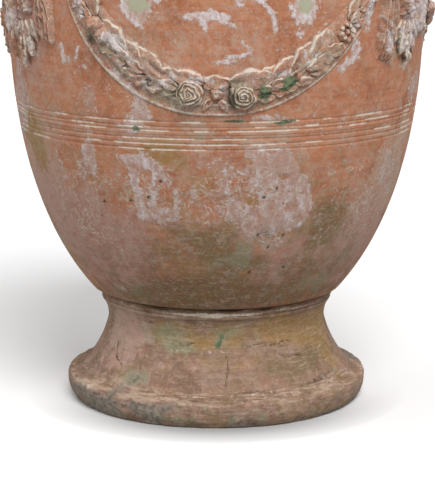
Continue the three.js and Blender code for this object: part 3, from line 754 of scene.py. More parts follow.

# %% [markdown]
# ## Sprigs for the relief
# Leaves, roses, blossoms, fruits, ribbons, beaded cords and bow loops were pressed from moulds and stuck
# on with slip. Sculpting each copy by hand would take days. Here each mould is one small closed mesh,
# laid flat along the first axis: a face made by a formula over a flat back. Two attributes go with it:
# edge, where pale slip still clings, and deep, where the hollows are darkened by dirt and painted shade.

# %% Mould helpers
def mould(name, x, y, z, edge, deep, sink, round_form=False):
    """A closed relief from grids of points: a shaped face, a flat back and a border between them."""
    rows, columns = x.shape
    face = np.stack([x, y, z], -1).reshape(-1, 3)
    back = np.stack([x, y, np.full_like(z, -sink)], -1).reshape(-1, 3)
    at = np.arange(rows * columns).reshape(rows, columns)
    under = at + rows * columns
    quads = [(at[:-1, :-1], at[1:, :-1], at[1:, 1:], at[:-1, 1:])]
    quads.append((under[:-1, :-1], under[:-1, 1:], under[1:, 1:], under[1:, :-1]))
    quads.append((at[-1, :-1], under[-1, :-1], under[-1, 1:], at[-1, 1:]))
    if not round_form:
        quads.append((at[0, 1:], under[0, 1:], under[0, :-1], at[0, :-1]))
        quads.append((at[1:, 0], at[:-1, 0], under[:-1, 0], under[1:, 0]))
        quads.append((at[:-1, -1], at[1:, -1], under[1:, -1], under[:-1, -1]))
    faces = np.concatenate([np.stack([c.ravel() for c in quad], -1) for quad in quads])
    mesh = bpy.data.meshes.new(name)
    mesh.from_pydata((np.concatenate([face, back]) * MM).tolist(), [], faces.tolist())
    # deep marks the mould's hollows, which the finish darkens with dirt and painted shade.
    for label, values in (("edge", edge), ("deep", deep)):
        layer = mesh.attributes.new(label, "FLOAT", "POINT")
        layer.data.foreach_set("value", np.tile(np.clip(values, 0, 1).ravel(), 2))
    return closed(mesh)


SAME_POINT = 0.02
SLIVER = 0.001


def closed(mesh):
    """Joins doubled points and turns the faces outwards."""
    work = bmesh.new()
    work.from_mesh(mesh)
    bmesh.ops.remove_doubles(work, verts=work.verts, dist=SAME_POINT * MM)
    bmesh.ops.dissolve_degenerate(work, edges=work.edges, dist=SLIVER * MM)
    bmesh.ops.recalc_face_normals(work, faces=work.faces)
    work.to_mesh(mesh)
    work.free()
    return mesh


def hill(value, middle, half):
    """A smooth hump of height 1 round a value."""
    return np.exp(-(((value - middle) / half) ** 2))


print("mould helpers ready")

# %% [markdown]
# ## Leaf and rose
# A leaf has a raised lip, a sunk rib and slanting veins, and a rose is a low dome with petals wound round
# it. Sculpting would give freer forms, but a formula can be tuned by one number. In it, s runs along a
# form and t across it; in a round form, rho runs out from the middle and phi round it.

# %% Leaf and rose
LEAF = 40
LEAF_WIDTH = 19
LEAF_RELIEF = 5.5
SINK = 5


def leaf_mould(name, bow, droop):
    s = np.linspace(0, 1, 14)[:, None]
    t = np.linspace(-1, 1, 11)[None, :]
    half = LEAF_WIDTH / 2 * np.sin(np.pi * s**0.8) ** 0.8 * (1 + 0.09 * np.sin(5.5 * np.pi * s))
    x = LEAF * s + 2.0 * (1 - np.abs(t)) * np.sin(np.pi * s)
    y = half * t + bow * np.sin(np.pi * s)
    swell = (0.5 + 0.5 * np.sin(np.pi * s**0.7)) * (1 - np.abs(t) ** 5)
    rib = hill(t, 0, 0.2) * (1 - s)
    vein = np.cos(2 * np.pi * (4.2 * s - 1.1 * np.abs(t))) * hill(np.abs(t), 0.5, 0.3)
    lip = hill(np.abs(t), 0.78, 0.18)
    z = LEAF_RELIEF * swell * (0.72 + 0.28 * lip - 0.35 * rib + 0.1 * vein) - droop * s**2
    edge = hill(np.abs(t), 0.84, 0.13) + 0.3 * hill(t, 0, 0.1) + 0.1 * vein + 0.3 * s**4
    deep = 0.65 * rib * (1 - lip) + 0.4 * (np.abs(t) > 0.95)
    return mould(name, x + 0 * t, y, z, edge, deep, SINK)


def polar(rings, turns):
    """Shares out from the middle and angles round it."""
    return np.linspace(0, 1, rings)[:, None], np.linspace(0, math.tau, turns)[None, :]


def rose_mould(name):
    rho, phi = polar(32, 49)
    radius, relief, whorls = 17.0, 12.0, 4.4
    reach = radius * (1 + 0.025 * np.sin(5 * phi))
    petal = np.cos(2 * np.pi * (whorls * rho**0.9) + phi + 0.3 * np.sin(3 * phi))
    z = (relief * (0.42 + 0.58 * (1 - rho**1.8)) + petal) * (1 - rho**12)
    edge = np.clip(petal, 0, 1) ** 1.5 * 0.85
    deep = np.clip(-petal, 0, 1) ** 2 * 0.65
    x, y = rho * reach * np.cos(phi), rho * reach * np.sin(phi)
    return mould(name, x, y, z, edge, deep, SINK, round_form=True)


print("leaf of", LEAF, "by", LEAF_WIDTH, "mm")

# %% [markdown]
# ## Blossom and fruit
# The blossom is a ring of beads round a middle one, and the fruit is a dome with an eye. Spheres could be
# joined, but the mould needs one face only, so at each point the highest bead gives the height.

# %% Blossom and fruit
BERRY_RISE = 1.15


def berries(x, y, places, size, ground):
    """Height of round berries over a ground."""
    z = ground + 0 * x
    for px, py in places:
        dome = size**2 - (x - px) ** 2 - (y - py) ** 2
        z = np.maximum(z, ground + np.sqrt(np.maximum(dome, 0)) * BERRY_RISE)
    return z


def blossom_mould(name):
    rho, phi = polar(24, 65)
    radius, petals, bead, ring, ground = 16.0, 8, 4.6, 11, 2.5
    reach = radius * (0.94 + 0.06 * np.cos(petals * phi))
    x, y = rho * reach * np.cos(phi), rho * reach * np.sin(phi)
    turns = [math.tau * i / petals for i in range(petals)]
    places = [(ring * math.cos(turn), ring * math.sin(turn)) for turn in turns]
    z = berries(x, y, places + [(0, 0)], bead, ground)
    edge = np.clip((z - 5.0) / 3, 0, 1) * 0.85
    deep = np.clip((3.6 - z) / 1.2, 0, 1) * (rho < 0.9) * 0.9
    return mould(name, x, y, z * (1 - rho**14), edge, deep, SINK, round_form=True)


def fruit_mould(name):
    rho, phi = polar(12, 33)
    radius, relief = 11.0, 10.0
    eye = hill(rho, 0, 0.16)
    z = relief * np.sqrt(np.maximum(1 - rho**2.6, 0)) - 1.2 * eye + 0.3 * np.cos(5 * phi) * rho
    x, y = rho * radius * np.cos(phi), rho * radius * np.sin(phi)
    edge = hill(rho, 0.3, 0.12) * 0.6 + 0 * phi
    deep = 0.3 * eye + 0.7 * (rho > 0.92) + 0 * phi
    return mould(name, x, y, z * (1 - rho**20), edge, deep, SINK, round_form=True)


print("blossom and fruit ready")

# %% [markdown]
# ## Ribbons, cord, loop and knot
# The tails are fluted ribbons whose tops bend towards the knot. The cord is three strings of beads, and
# the bow has two folded loops and a knot. Simulated cloth would fold more freely than these do, but the
# real ones are stiff clay with even flutes.

# %% Ribbons, cord, loop and knot
RIBBON_SINK = 1.5
BEND = 46
TAIL_REACH = 22


def ribbon_mould(name, length, width, relief, flutes, slant, lead=0):
    """A fluted ribbon; with a lead its top narrows and bends aside, up to the knot."""
    s = np.linspace(0, 1, 40)[:, None]
    t = np.linspace(-1, 1, 8 * flutes + 1)[None, :]
    bend = np.clip(1 - length * s / BEND, 0, 1) * (lead != 0)
    half = width / 2 * (0.85 + 0.15 * s + 0.04 * np.sin(11 * s)) * (1 - 0.55 * bend**1.5)
    flute = np.cos(np.pi * flutes * (t + 0.05 * np.sin(7 * s)) + np.pi * (flutes + 1))
    end = (1 - s**30) * (1 - (1 - s) ** 40)
    z = relief * (0.78 + 0.22 * flute) * (1 - t**12) * end * (1 - 0.15 * np.sin(9 * s + t))
    x = length * s + slant * s * t + 2.5 * s**6 * np.cos(np.pi * flutes * t)
    edge = np.clip(flute, 0, 1) ** 3 * 0.55 + 0.3 * s**12
    deep = np.clip(-flute - 0.3, 0, 1) * 0.4
    return mould(name, x, half * t + lead * bend**2, z, edge, deep + 0 * s, RIBBON_SINK)


def cord_mould(name, length, width, relief):
    """Three strings of beads side by side."""
    s = np.linspace(0, 1, 57)[:, None]
    t = np.linspace(-1, 1, 25)[None, :]
    bead = np.cos(3 * np.pi * t) * 0.5 + np.cos(2 * np.pi * (8 * s + 0.25 * np.sin(2 * np.pi * t))) * 0.5
    end = (1 - s**30) * (1 - (1 - s) ** 40)
    z = relief * (0.76 + 0.24 * bead) * (1 - t**12) * end
    edge = np.clip(bead, 0, 1) ** 2 * 0.7
    deep = np.clip(-bead, 0, 1) * 0.6
    return mould(name, length * s + 0 * t, width / 2 * t + 0 * s, z, edge, deep, RIBBON_SINK)


def loop_mould(name):
    length, widest, relief = 54, 19, 11
    s = np.linspace(0, 1, 26)[:, None]
    t = np.linspace(-1, 1, 25)[None, :]
    half = widest * np.sin(np.pi * s**0.62) ** 0.6
    hollow = hill(t, 0, 0.3) * np.sin(np.pi * np.clip((s - 0.25) / 0.7, 0, 1)) ** 0.7
    fold = np.cos(9 * np.pi * t) * (1 - s) ** 1.5
    hem = hill(np.abs(t), 0.74, 0.16)
    z = relief * (1 - t**8) * (0.82 - 0.42 * hollow + 0.12 * fold + 0.14 * hem)
    z = z * np.minimum(1, 0.4 + 3 * s) * (1 - s**16)
    edge = 0.6 * hem + 0.3 * np.clip(fold, 0, 1)
    deep = 0.35 * hollow + 0.3 * hill(np.abs(t), 0.5, 0.1)
    return mould(name, length * s + 0 * t, half * t, z, edge, deep, RIBBON_SINK)


def knot_mould(name):
    rho, phi = polar(12, 41)
    radius, relief = 12, 14
    fold = np.cos(6 * phi + 3 * rho)
    z = relief * np.sqrt(np.maximum(1 - rho**2.4, 0)) * (1 + 0.06 * fold)
    x, y = radius * rho * np.cos(phi), radius * rho * np.sin(phi)
    edge, deep = np.clip(fold, 0, 1) * 0.7, np.clip(-fold, 0, 1) * 0.4
    return mould(name, x, y, z, edge, deep, RIBBON_SINK, round_form=True)


print("ribbons, cord, loop and knot ready")

# %% [markdown]
# ## The box of moulds
# A potter keeps the moulds in a box and picks the one that is needed. The box is a collection here.
# Single objects could go to the tree one by one, but from a collection the tree picks by number, in the
# order of the names, so each name starts with its number.

# %% All moulds in one box
TAIL_LEFT_LENGTH = 96
TAIL_RIGHT_LENGTH = 72
TAIL_WIDTH = 28
TAIL_RELIEF = 11
TAIL_FLUTES = 5
TAIL_SLANT = 4
TAIL_LEAD = 30
TAIL = (TAIL_WIDTH, TAIL_RELIEF, TAIL_FLUTES, TAIL_SLANT)
CORD_LENGTH = 60
CORD_WIDTH = 26
CORD_RELIEF = 11
MOULDS = [
    leaf_mould("mould_00_leaf", 0, 1.0),
    leaf_mould("mould_01_leaf_up", 2.2, 4.0),
    leaf_mould("mould_02_leaf_down", -2.2, 1.5),
    rose_mould("mould_03_rose"),
    blossom_mould("mould_04_blossom"),
    fruit_mould("mould_05_fruit"),
    ribbon_mould("mould_06_tail_left", TAIL_LEFT_LENGTH + TAIL_REACH, *TAIL, TAIL_LEAD),
    ribbon_mould("mould_07_tail_right", TAIL_RIGHT_LENGTH + TAIL_REACH, *TAIL, -TAIL_LEAD),
    cord_mould("mould_08_cord", CORD_LENGTH, CORD_WIDTH, CORD_RELIEF),
    loop_mould("mould_09_loop"),
    knot_mould("mould_10_knot"),
]
PLAIN, UP, DOWN, ROSE, BLOSSOM, FRUIT, TAIL_LEFT, TAIL_RIGHT, CORD, LOOP, KNOT = range(len(MOULDS))
mould_box = bpy.data.collections.new("moulds")
for mesh in MOULDS:
    mould_box.objects.link(bpy.data.objects.new(mesh.name, mesh))
print("moulds:", {mesh.name: len(mesh.polygons) for mesh in MOULDS})

# %% [markdown]
# ## Pressing relief onto the wall
# A sprig is soft when it goes on, so it bends round the body. One group of nodes gives the body's radius
# at a height, the same formula as before. A second group carries flat geometry, measured along the
# girth, up and out, to the curved wall. The Shrinkwrap modifier could do it too, but it would flatten the
# relief.

# %% The pressing groups
NUDGE = 0.5


def body_radius_group():
    group = bpy.data.node_groups.new("Body radius", "GeometryNodeTree")
    group.interface.new_socket("Height", in_out="INPUT", socket_type="NodeSocketFloat")
    group.interface.new_socket("Radius", in_out="OUTPUT", socket_type="NodeSocketFloat")
    tree = Tree(group)
    height = tree.add("NodeGroupInput").outputs[0]
    below = tree.math("LESS_THAN", height, BELLY_Z * MM)
    more = tree.math("MULTIPLY", below, (LOWER_DEPTH - UPPER_DEPTH) * MM)
    depth = tree.math("ADD", UPPER_DEPTH * MM, more)
    away = tree.math("ABSOLUTE", tree.math("SUBTRACT", height, BELLY_Z * MM))
    share = tree.math("MINIMUM", tree.math("DIVIDE", away, depth), 1)
    rest = tree.math("SUBTRACT", 1, tree.math("POWER", share, FULLNESS))
    radius = tree.math("MULTIPLY", tree.math("POWER", rest, 1 / FULLNESS), BELLY_RADIUS * MM)
    tree.add("NodeGroupOutput", {"Radius": radius})
    return group


BODY_RADIUS = body_radius_group()


def pressing_group():
    tree, given = geometry_tree("Press on the wall", {"Angle": "Float", "Stand": "Float"})
    geometry, angle, stand = given[:3]

    def radius_at(height):
        return tree.add("GeometryNodeGroup", {"Height": height}, node_tree=BODY_RADIUS).outputs[0]

    along, up, out = tree.parts(tree.position())
    above = radius_at(tree.math("ADD", up, NUDGE * MM))
    beneath = radius_at(tree.math("SUBTRACT", up, NUDGE * MM))
    slope = tree.math("DIVIDE", tree.math("SUBTRACT", above, beneath), 2 * NUDGE * MM)
    length = tree.math("SQRT", tree.math("ADD", 1, tree.math("MULTIPLY", slope, slope)))
    lift = tree.math("DIVIDE", tree.math("ADD", out, stand), length)
    radius = tree.math("ADD", radius_at(up), lift)
    height = tree.math("SUBTRACT", up, tree.math("MULTIPLY", lift, slope))
    turn = tree.math("ADD", angle, tree.math("DIVIDE", along, BELLY_RADIUS * MM))
    x = tree.math("MULTIPLY", radius, tree.math("SINE", turn))
    y = tree.math("MULTIPLY", tree.math("MULTIPLY", radius, tree.math("COSINE", turn)), -1)
    place = tree.vector(x, y, height)
    moved = tree.add("GeometryNodeSetPosition", {"Geometry": geometry, "Position": place}).outputs[0]
    tree.add("NodeGroupOutput", {"Geometry": moved})
    return tree.tree


PRESS = pressing_group()


def pressed_on(tree, geometry, angle, stand):
    """Geometry carried to the wall by the pressing group."""
    sockets = {"Geometry": geometry, "Angle": angle, "Stand": stand}
    return tree.add("GeometryNodeGroup", sockets, node_tree=PRESS).outputs[0]


print("pressing group:", len(PRESS.nodes), "nodes")

# %% [markdown]
# ## Sprigs on points
# A potter sets each sprig, turns it and presses it on, and the rain wears it after. The tree does the
# same: a mould on each point, turned and scaled, bent round the body, then roughened by a noise. Copies
# could be placed and bent one by one, but one tree does it for all.

# %% The sprig tree
LUMP_SCALE = 110


def sprig_tree():
    inputs = {"Moulds": "Collection", "Angle": "Float", "Stand": "Float", "Erosion": "Float"}
    tree, given = geometry_tree("Sprigs on the wall", {**inputs, "Material": "Material"})
    points, moulds, angle, stand, erosion, material = given[:6]
    sockets = {"Collection": moulds, "Separate Children": True, "Reset Children": True}
    shapes = tree.add("GeometryNodeCollectionInfo", sockets).outputs[0]
    sockets = {"Points": points, "Instance": shapes, "Pick Instance": True}
    sockets["Instance Index"] = tree.carried("kind", "INT")
    sockets["Rotation"] = tree.vector(0, 0, tree.carried("turn"))
    sockets["Scale"] = tree.carried("size")
    placed = tree.add("GeometryNodeInstanceOnPoints", sockets).outputs[0]
    real = tree.add("GeometryNodeRealizeInstances", {"Geometry": placed}).outputs[0]
    pressed = pressed_on(tree, real, angle, stand)
    sockets = {"Vector": tree.position(), "Scale": LUMP_SCALE, "Detail": 3}
    lumps = tree.add("ShaderNodeTexNoise", sockets).outputs["Color"]
    sockets = {0: lumps, 1: (0.5, 0.5, 0.5)}
    centred = tree.add("ShaderNodeVectorMath", sockets, operation="SUBTRACT").outputs[0]
    sockets = {0: centred, "Scale": erosion}
    offset = tree.add("ShaderNodeVectorMath", sockets, operation="SCALE").outputs[0]
    worn = tree.add("GeometryNodeSetPosition", {"Geometry": pressed, "Offset": offset}).outputs[0]
    close_tree(tree, worn, material)
    return tree


SPRIGS = sprig_tree()
print("sprig tree:", len(SPRIGS.tree.nodes), "nodes")

# %% [markdown]
# ## The garlands
# Three garlands hang between the tassels like chains between nails, so their line is the chain curve.
# They lean a little to one side, as they were put on by hand, and narrow towards their ends. A drawn
# curve would do, but the formula gives place and slope at any distance along it.

# %% The chain curve
GARLANDS = 3
GARLAND_LOW = SEAM - FILM + 48
GARLAND_HIGH = WALL_TOP - 60
TASSEL_REACH = 55
BAND_ABOVE = 22
BAND_BELOW = 21.4
BAND_THICKNESS = 4
HALF_SPAN = math.pi / GARLANDS * BELLY_RADIUS - TASSEL_REACH - BAND_ABOVE - 1


def chain_size(half_span, rise):
    """Size of the chain curve that rises by a height over half its span, by halving the bracket."""
    low, high = half_span / 20, half_span * 50
    for _ in range(60):
        size = (low + high) / 2
        if size * (math.cosh(half_span / size) - 1) > rise:
            low = size
        else:
            high = size
    return low


CHAIN = chain_size(HALF_SPAN, GARLAND_HIGH - GARLAND_LOW)
HALF_LENGTH = CHAIN * math.sinh(HALF_SPAN / CHAIN)
GARLAND_LEAN = -0.05
END_NARROWING = 0.35


def on_chain(distance, across=0.0):
    """Place and slope at a distance along the chain from its middle, moved across it."""
    across *= 1 - END_NARROWING * (distance / HALF_LENGTH) ** 4
    along = CHAIN * math.asinh(distance / CHAIN)
    slope = math.atan(math.sinh(along / CHAIN))
    x = along - across * math.sin(slope)
    z = CHAIN * (math.cosh(along / CHAIN) - 1) + across * math.cos(slope)
    cosine, sine = math.cos(GARLAND_LEAN), math.sin(GARLAND_LEAN)
    return x * cosine - z * sine, GARLAND_LOW + x * sine + z * cosine, slope + GARLAND_LEAN


print(f"garland of {2 * HALF_LENGTH:.0f} mm, chain size {CHAIN:.0f} mm")

# %% [markdown]
# ## The band
# A flat band with raised lines along its lower edge backs each garland, and its free strip is wider on
# the left. It could be a curve with a bevel, but here a section is swept along the chain on a grid, so
# that its width can change on the way and its lines carry along their pale edge and their darkening of
# dirt and painted shade.

# %% The band
STRIP_SWELL = 0.18
LEFT_SWELL = 1.15


def strand_tree():
    inputs = {"Half length": "Float", "Steps": "Int", "Angle": "Float", "Stand": "Float"}
    tree, given = geometry_tree("Strand on the wall", {**inputs, "Material": "Material"})
    section, half_length, steps, angle, stand, material = given[:6]
    grid, column, sampled = swept_grid(tree, section, tree.math("ADD", steps, 3))
    column = tree.math("SUBTRACT", column, 1)
    level, _, rise = tree.parts(sampled(tree.position(), "FLOAT_VECTOR"))
    share = tree.math("DIVIDE", tree.math("MINIMUM", tree.math("MAXIMUM", column, 0), steps), steps)
    inner = tree.math("COMPARE", share, tree.math("DIVIDE", column, steps), 0.0001)
    out = tree.math("MULTIPLY", rise, inner)
    side = tree.math("SUBTRACT", tree.math("MULTIPLY", share, 2), 1)
    width = tree.math("SUBTRACT", 1, tree.math("MULTIPLY", tree.math("POWER", side, 4), END_NARROWING))
    leftward = tree.math("MULTIPLY", tree.math("MINIMUM", side, 0), -LEFT_SWELL)
    swell = tree.math("ADD", leftward, STRIP_SWELL)
    swell = tree.math("MULTIPLY", swell, tree.math("SUBTRACT", 1, tree.math("MULTIPLY", side, side)))
    swell = tree.math("MULTIPLY_ADD", swell, tree.math("LESS_THAN", level, 0), 1)
    across = tree.math("MULTIPLY", tree.math("MULTIPLY", level, swell), inner)
    across = tree.math("MULTIPLY", across, width)
    reach = tree.math("DIVIDE", tree.math("MULTIPLY", side, half_length), CHAIN * MM)
    root = tree.math("SQRT", tree.math("ADD", tree.math("MULTIPLY", reach, reach), 1))
    line = tree.math("LOGARITHM", tree.math("ADD", reach, root), math.e)
    along = tree.math("MULTIPLY", line, CHAIN * MM)
    up = tree.math("MULTIPLY", tree.math("SUBTRACT", root, 1), CHAIN * MM)
    slope = tree.math("ARCTANGENT", reach)
    level_x = tree.math("SUBTRACT", along, tree.math("MULTIPLY", across, tree.math("SINE", slope)))
    level_y = tree.math("ADD", up, tree.math("MULTIPLY", across, tree.math("COSINE", slope)))
    cosine, sine = math.cos(GARLAND_LEAN), math.sin(GARLAND_LEAN)
    aside = tree.math("MULTIPLY", level_y, sine)
    x = tree.math("SUBTRACT", tree.math("MULTIPLY", level_x, cosine), aside)
    y = tree.math("ADD", tree.math("MULTIPLY", level_x, sine), tree.math("MULTIPLY", level_y, cosine))
    place = tree.vector(x, tree.math("ADD", y, GARLAND_LOW * MM), out)
    strand = tree.add("GeometryNodeSetPosition", {"Geometry": grid, "Position": place}).outputs[0]
    for label in ("edge", "deep"):
        sockets = {"Geometry": strand, "Name": label, "Value": sampled(tree.carried(label))}
        strand = tree.add("GeometryNodeStoreNamedAttribute", sockets).outputs[0]
    sockets = {"Geometry": strand, "Distance": WELD * MM}
    joined = tree.add("GeometryNodeMergeByDistance", sockets).outputs[0]
    close_tree(tree, pressed_on(tree, joined, angle, stand), material)
    return tree


STRAND = strand_tree()
print("strand tree:", len(STRAND.tree.nodes), "nodes")

# %% [markdown]
# ## The band's section
# Across the band run a thin line at its lower edge, a narrow strip, a second line and the ground of the
# leaves. A flat band with a texture would look smooth from the side, so the lines are in the section.

# %% The band's section
FILLET = 5
STRIP = 8
# The ground between the leaves is darkened: dirt and painted shade.
GROUND_DIRT_AND_SHADE = 0.3
BAND_STEPS = 150


def band_section():
    """Across, out and pale edge: down the flat back, then up over raised line, strip and ground."""
    low = -BAND_BELOW
    crest = low + FILLET / 2
    second = low + FILLET + STRIP
    back = [(x, 0, 0) for x in np.linspace(BAND_ABOVE, low, 6)]
    outer_line = [(low + 1, 0.9, 0.3), (crest - 0.6, 1.9, 0.62), (crest + 0.8, 1.9, 0.62)]
    strip = [(low + FILLET - 0.4, 1.3, 0.1), (low + FILLET + 1, 1.2, 0), (second - 2, 1.6, 0)]
    second_line = [(second - 0.6, 2.9, 0.7), (second + 0.8, 2.9, 0.7), (second + 2, 2.4, 0)]
    ground = [(0, 3.2, 0), (BAND_ABOVE - 7, 3.2, 0), (BAND_ABOVE - 2.5, 1.8, 0.15)]
    points = back + outer_line + strip + second_line + ground
    mesh = bpy.data.meshes.new("band section")
    edges = [(i, (i + 1) % len(points)) for i in range(len(points))]
    mesh.from_pydata([(x * MM, 0, out * MM) for x, out, _ in points], edges, [])
    edge = [pale for _, _, pale in points]
    deep = [GROUND_DIRT_AND_SHADE if second < x < BAND_ABOVE - 5 else 0.0 for x, _, _ in points]
    for label, values in (("edge", edge), ("deep", deep)):
        layer = mesh.attributes.new(label, "FLOAT", "POINT")
        layer.data.foreach_set("value", values)
    return mesh


def garland_angle(i):
    return math.tau * i / GARLANDS


for i in range(GARLANDS):
    node = f"garland_{i + 1}_band"
    values = {"Half length": HALF_LENGTH * MM, "Steps": BAND_STEPS, "Material": SLOTS["relief_clay"]}
    values.update({"Angle": garland_angle(i), "Stand": 0.0})
    pieces[node] = grown("swag_" + node, band_section(), STRAND, values)
print("band:", len(pieces["garland_1_band"].data.polygons), "faces")

# %% [markdown]
# ## Roses, blossoms, fruits and leaves
# Two roses sit at the bottom of each garland, fruits to the left, a beaded blossom to the right and dense
# sprays of leaves between. Placing each by hand would take long. Points along the chain carry the place,
# turn, size and kind of each sprig, and the sprig tree presses the right mould on every point.

# %% Points for the sprigs
ROSE_AT = 31.5
BLOSSOM_AT = HALF_LENGTH - 71
FRUIT_AT = 88 - HALF_LENGTH
FRUIT_SHIFT = 9
LEAF_CLEAR = 13


def points_mesh(name, sprigs):
    """A mesh of bare points, each with the turn, size and kind of the sprig that goes there."""
    mesh = bpy.data.meshes.new(name)
    mesh.from_pydata([(s["x"] * MM, s["z"] * MM, s.get("out", 0) * MM) for s in sprigs], [], [])
    for label, kind in (("turn", "FLOAT"), ("size", "FLOAT"), ("kind", "INT")):
        layer = mesh.attributes.new(label, kind, "POINT")
        layer.data.foreach_set("value", [s[label] for s in sprigs])
    return mesh


def sprig(distance, across, turn, size, kind, out=0.0):
    """A sprig on the chain, turned from the chain's own direction."""
    x, z, slope = on_chain(distance, across)
    return {"x": x, "z": z, "turn": slope + turn, "size": size, "kind": kind, "out": out}


LEAF_SHIFT = 2
LEAF_SWING = 0.16
# kind, distance across, turn outwards, size, pitch and distance out of the rows of a spray
SPRAY_ROWS = (
    (UP, 7, 0.26, 1.2, 26, 0.0),
    (DOWN, -4, -0.3, 0.72, 17, 0.0),
    (PLAIN, 2, 0.06, 0.74, 23, 2.0),
)


def spray(start, end, seed, scale=1.0):
    """Leaves along a stretch: an upper and a lower row, and a third row over both."""
    draw = random.Random(seed)
    way = 1 if end > start else -1
    length = abs(end - start)
    base = 0 if way > 0 else math.pi
    leaves = []
    for kind, across, spread, full_size, full_pitch, out in SPRAY_ROWS:
        size, pitch = full_size * scale, full_pitch * scale
        count = max(1, int((length - LEAF / 2 * size) / pitch) + 1)
        for k in range(count):
            distance = start + way * (k * pitch + draw.uniform(-LEAF_SHIFT, LEAF_SHIFT))
            turn = base + way * (spread + draw.uniform(-LEAF_SWING, LEAF_SWING))
            lean = across + draw.uniform(-LEAF_SHIFT, LEAF_SHIFT)
            mirrored = kind if way > 0 else {UP: DOWN, DOWN: UP, PLAIN: PLAIN}[kind]
            leaves.append(sprig(distance, lean, turn, size * draw.uniform(0.86, 1.12), mirrored, out))
    return leaves


print("rows of leaves in a spray:", len(SPRAY_ROWS))

# %% [markdown]
# ## Filling a garland
# In the middle a few leaves and a berry tie the roses together, and sprays of leaves run up both sides.
# All three garlands came from the same moulds, so one list with one seed serves for all.

# %% Sprigs of a garland
EROSION = 9.0
GARLAND_SEED = 4
LEFT_HIGH_SCALE = 0.66
RIGHT_HIGH_SCALE = 0.75


def garland_sprigs(seed):
    rose_edge = ROSE_AT + LEAF_CLEAR
    centre = [sprig(20, 17, math.pi - 0.08, 0.95, PLAIN), sprig(0, 3, 0.3, 0.66, FRUIT)]
    centre += [sprig(side * 4, 9, math.pi / 2 - side, 0.5, PLAIN, 0.5) for side in (-1, 1)]
    centre += [sprig(15, 17, 0.1, 1.4, PLAIN, 1.5), sprig(-15, 16, math.pi - 0.12, 1.2, PLAIN, 1.5)]
    centre += [sprig(side * 5, -3, -math.pi / 2 + side * 0.6, 0.45, PLAIN) for side in (-1, 1)]
    return {
        "rose_left": [sprig(-ROSE_AT, 0, 0.4, 1.0, ROSE)],
        "rose_right": [sprig(ROSE_AT, 0, 2.1, 1.0, ROSE)],
        "leaves_centre": centre,
        "leaves_left_low": spray(-rose_edge, FRUIT_AT + FRUIT_SHIFT + 8, seed),
        "leaves_left_high": spray(FRUIT_AT - FRUIT_SHIFT - 6, -HALF_LENGTH, seed + 1, LEFT_HIGH_SCALE),
        "leaves_right_low": spray(rose_edge, BLOSSOM_AT - LEAF_CLEAR, seed + 2),
        "leaves_right_high": spray(BLOSSOM_AT + LEAF_CLEAR, HALF_LENGTH, seed + 3, RIGHT_HIGH_SCALE),
        "fruits": [sprig(FRUIT_AT + side * FRUIT_SHIFT, 0, side, 1.0, FRUIT) for side in (-1, 1)],
        "blossom": [sprig(BLOSSOM_AT, 0, 0.2, 0.8, BLOSSOM)],
    }


def press_sprigs(node, sprigs, angle, stand):
    values = {"Moulds": mould_box, "Angle": angle, "Stand": stand * MM, "Erosion": EROSION * MM}
    values["Material"] = SLOTS["relief_clay"]
    pieces[node] = grown("sprig_" + node, points_mesh(node, sprigs), SPRIGS, values)


for i in range(GARLANDS):
    for name, sprigs in garland_sprigs(GARLAND_SEED).items():
        press_sprigs(f"garland_{i + 1}_{name}", sprigs, garland_angle(i), BAND_THICKNESS)
leaf_groups = [sprigs for name, sprigs in garland_sprigs(GARLAND_SEED).items() if "leaves" in name]
print("sprigs in a garland's groups of leaves:", sum(len(sprigs) for sprigs in leaf_groups))

# %% [markdown]
# ## The tassels
# Between the garlands hang bows with two fluted ribbon tails, a cord of three strings of beads and a
# bunch of shingled leaves. They could be modelled in place, but they come from moulds like the rest and
# lie straight on the wall, so the same tree presses them on.

# %% Bows, tails, cords and bunches
KNOT_Z = WALL_TOP - 40
LOOP_TILT = 0.3
TAIL_OFFSET = 41
TAIL_TOP = KNOT_Z - 26
TAIL_SPLAY = 0.08
CORD_TOP = KNOT_Z - 12.4
BUNCH_TOP = CORD_TOP - 56.4
HANGING = -math.pi / 2
BUNCH_LEAF = 0.72
BUNCH_PITCH = 11
BUNCH_OUT = 4.0
# distance down, count, size and spread of the rows of a bunch
BUNCH_ROWS = ((8, 4, 1.0, 0.3), (26, 3, 0.9, 0.22), (43, 1, 0.75, 0.0))


def hung(x, z, turn, kind, size=1.0, out=0.0):
    return {"x": x, "z": z, "turn": turn, "size": size, "kind": kind, "out": out}


def bunch_leaves():
    """Rows of leaves, each row lower and over the one before, narrowing to a point."""
    leaves = []
    for k, (down, count, size, spread) in enumerate(BUNCH_ROWS):
        for j in range(count):
            side = j - (count - 1) / 2
            turn = HANGING + side * spread
            place = (side * BUNCH_PITCH, BUNCH_TOP - down)
            leaves.append(hung(*place, turn, PLAIN, size * BUNCH_LEAF, BUNCH_OUT + k))
    return leaves


def tassel_sprigs():
    loops = [hung(0, KNOT_Z, LOOP_TILT, LOOP), hung(0, KNOT_Z, math.pi - LOOP_TILT, LOOP)]
    return {
        "bow": loops + [hung(0, KNOT_Z, 0, KNOT)],
        "tail_left": [hung(-TAIL_OFFSET, TAIL_TOP + TAIL_REACH, HANGING - TAIL_SPLAY, TAIL_LEFT)],
        "tail_right": [hung(TAIL_OFFSET, TAIL_TOP + TAIL_REACH, HANGING + TAIL_SPLAY, TAIL_RIGHT)],
        "cord": [hung(0, CORD_TOP, HANGING, CORD)],
        "bunch": bunch_leaves(),
    }


for i in range(GARLANDS):
    for name, sprigs in tassel_sprigs().items():
        press_sprigs(f"tassel_{i + 1}_{name}", sprigs, garland_angle(i + 0.5), 0.0)
for shape in list(mould_box.objects):
    bpy.data.objects.remove(shape)
bpy.data.collections.remove(mould_box)
print("pieces made:", len(pieces))

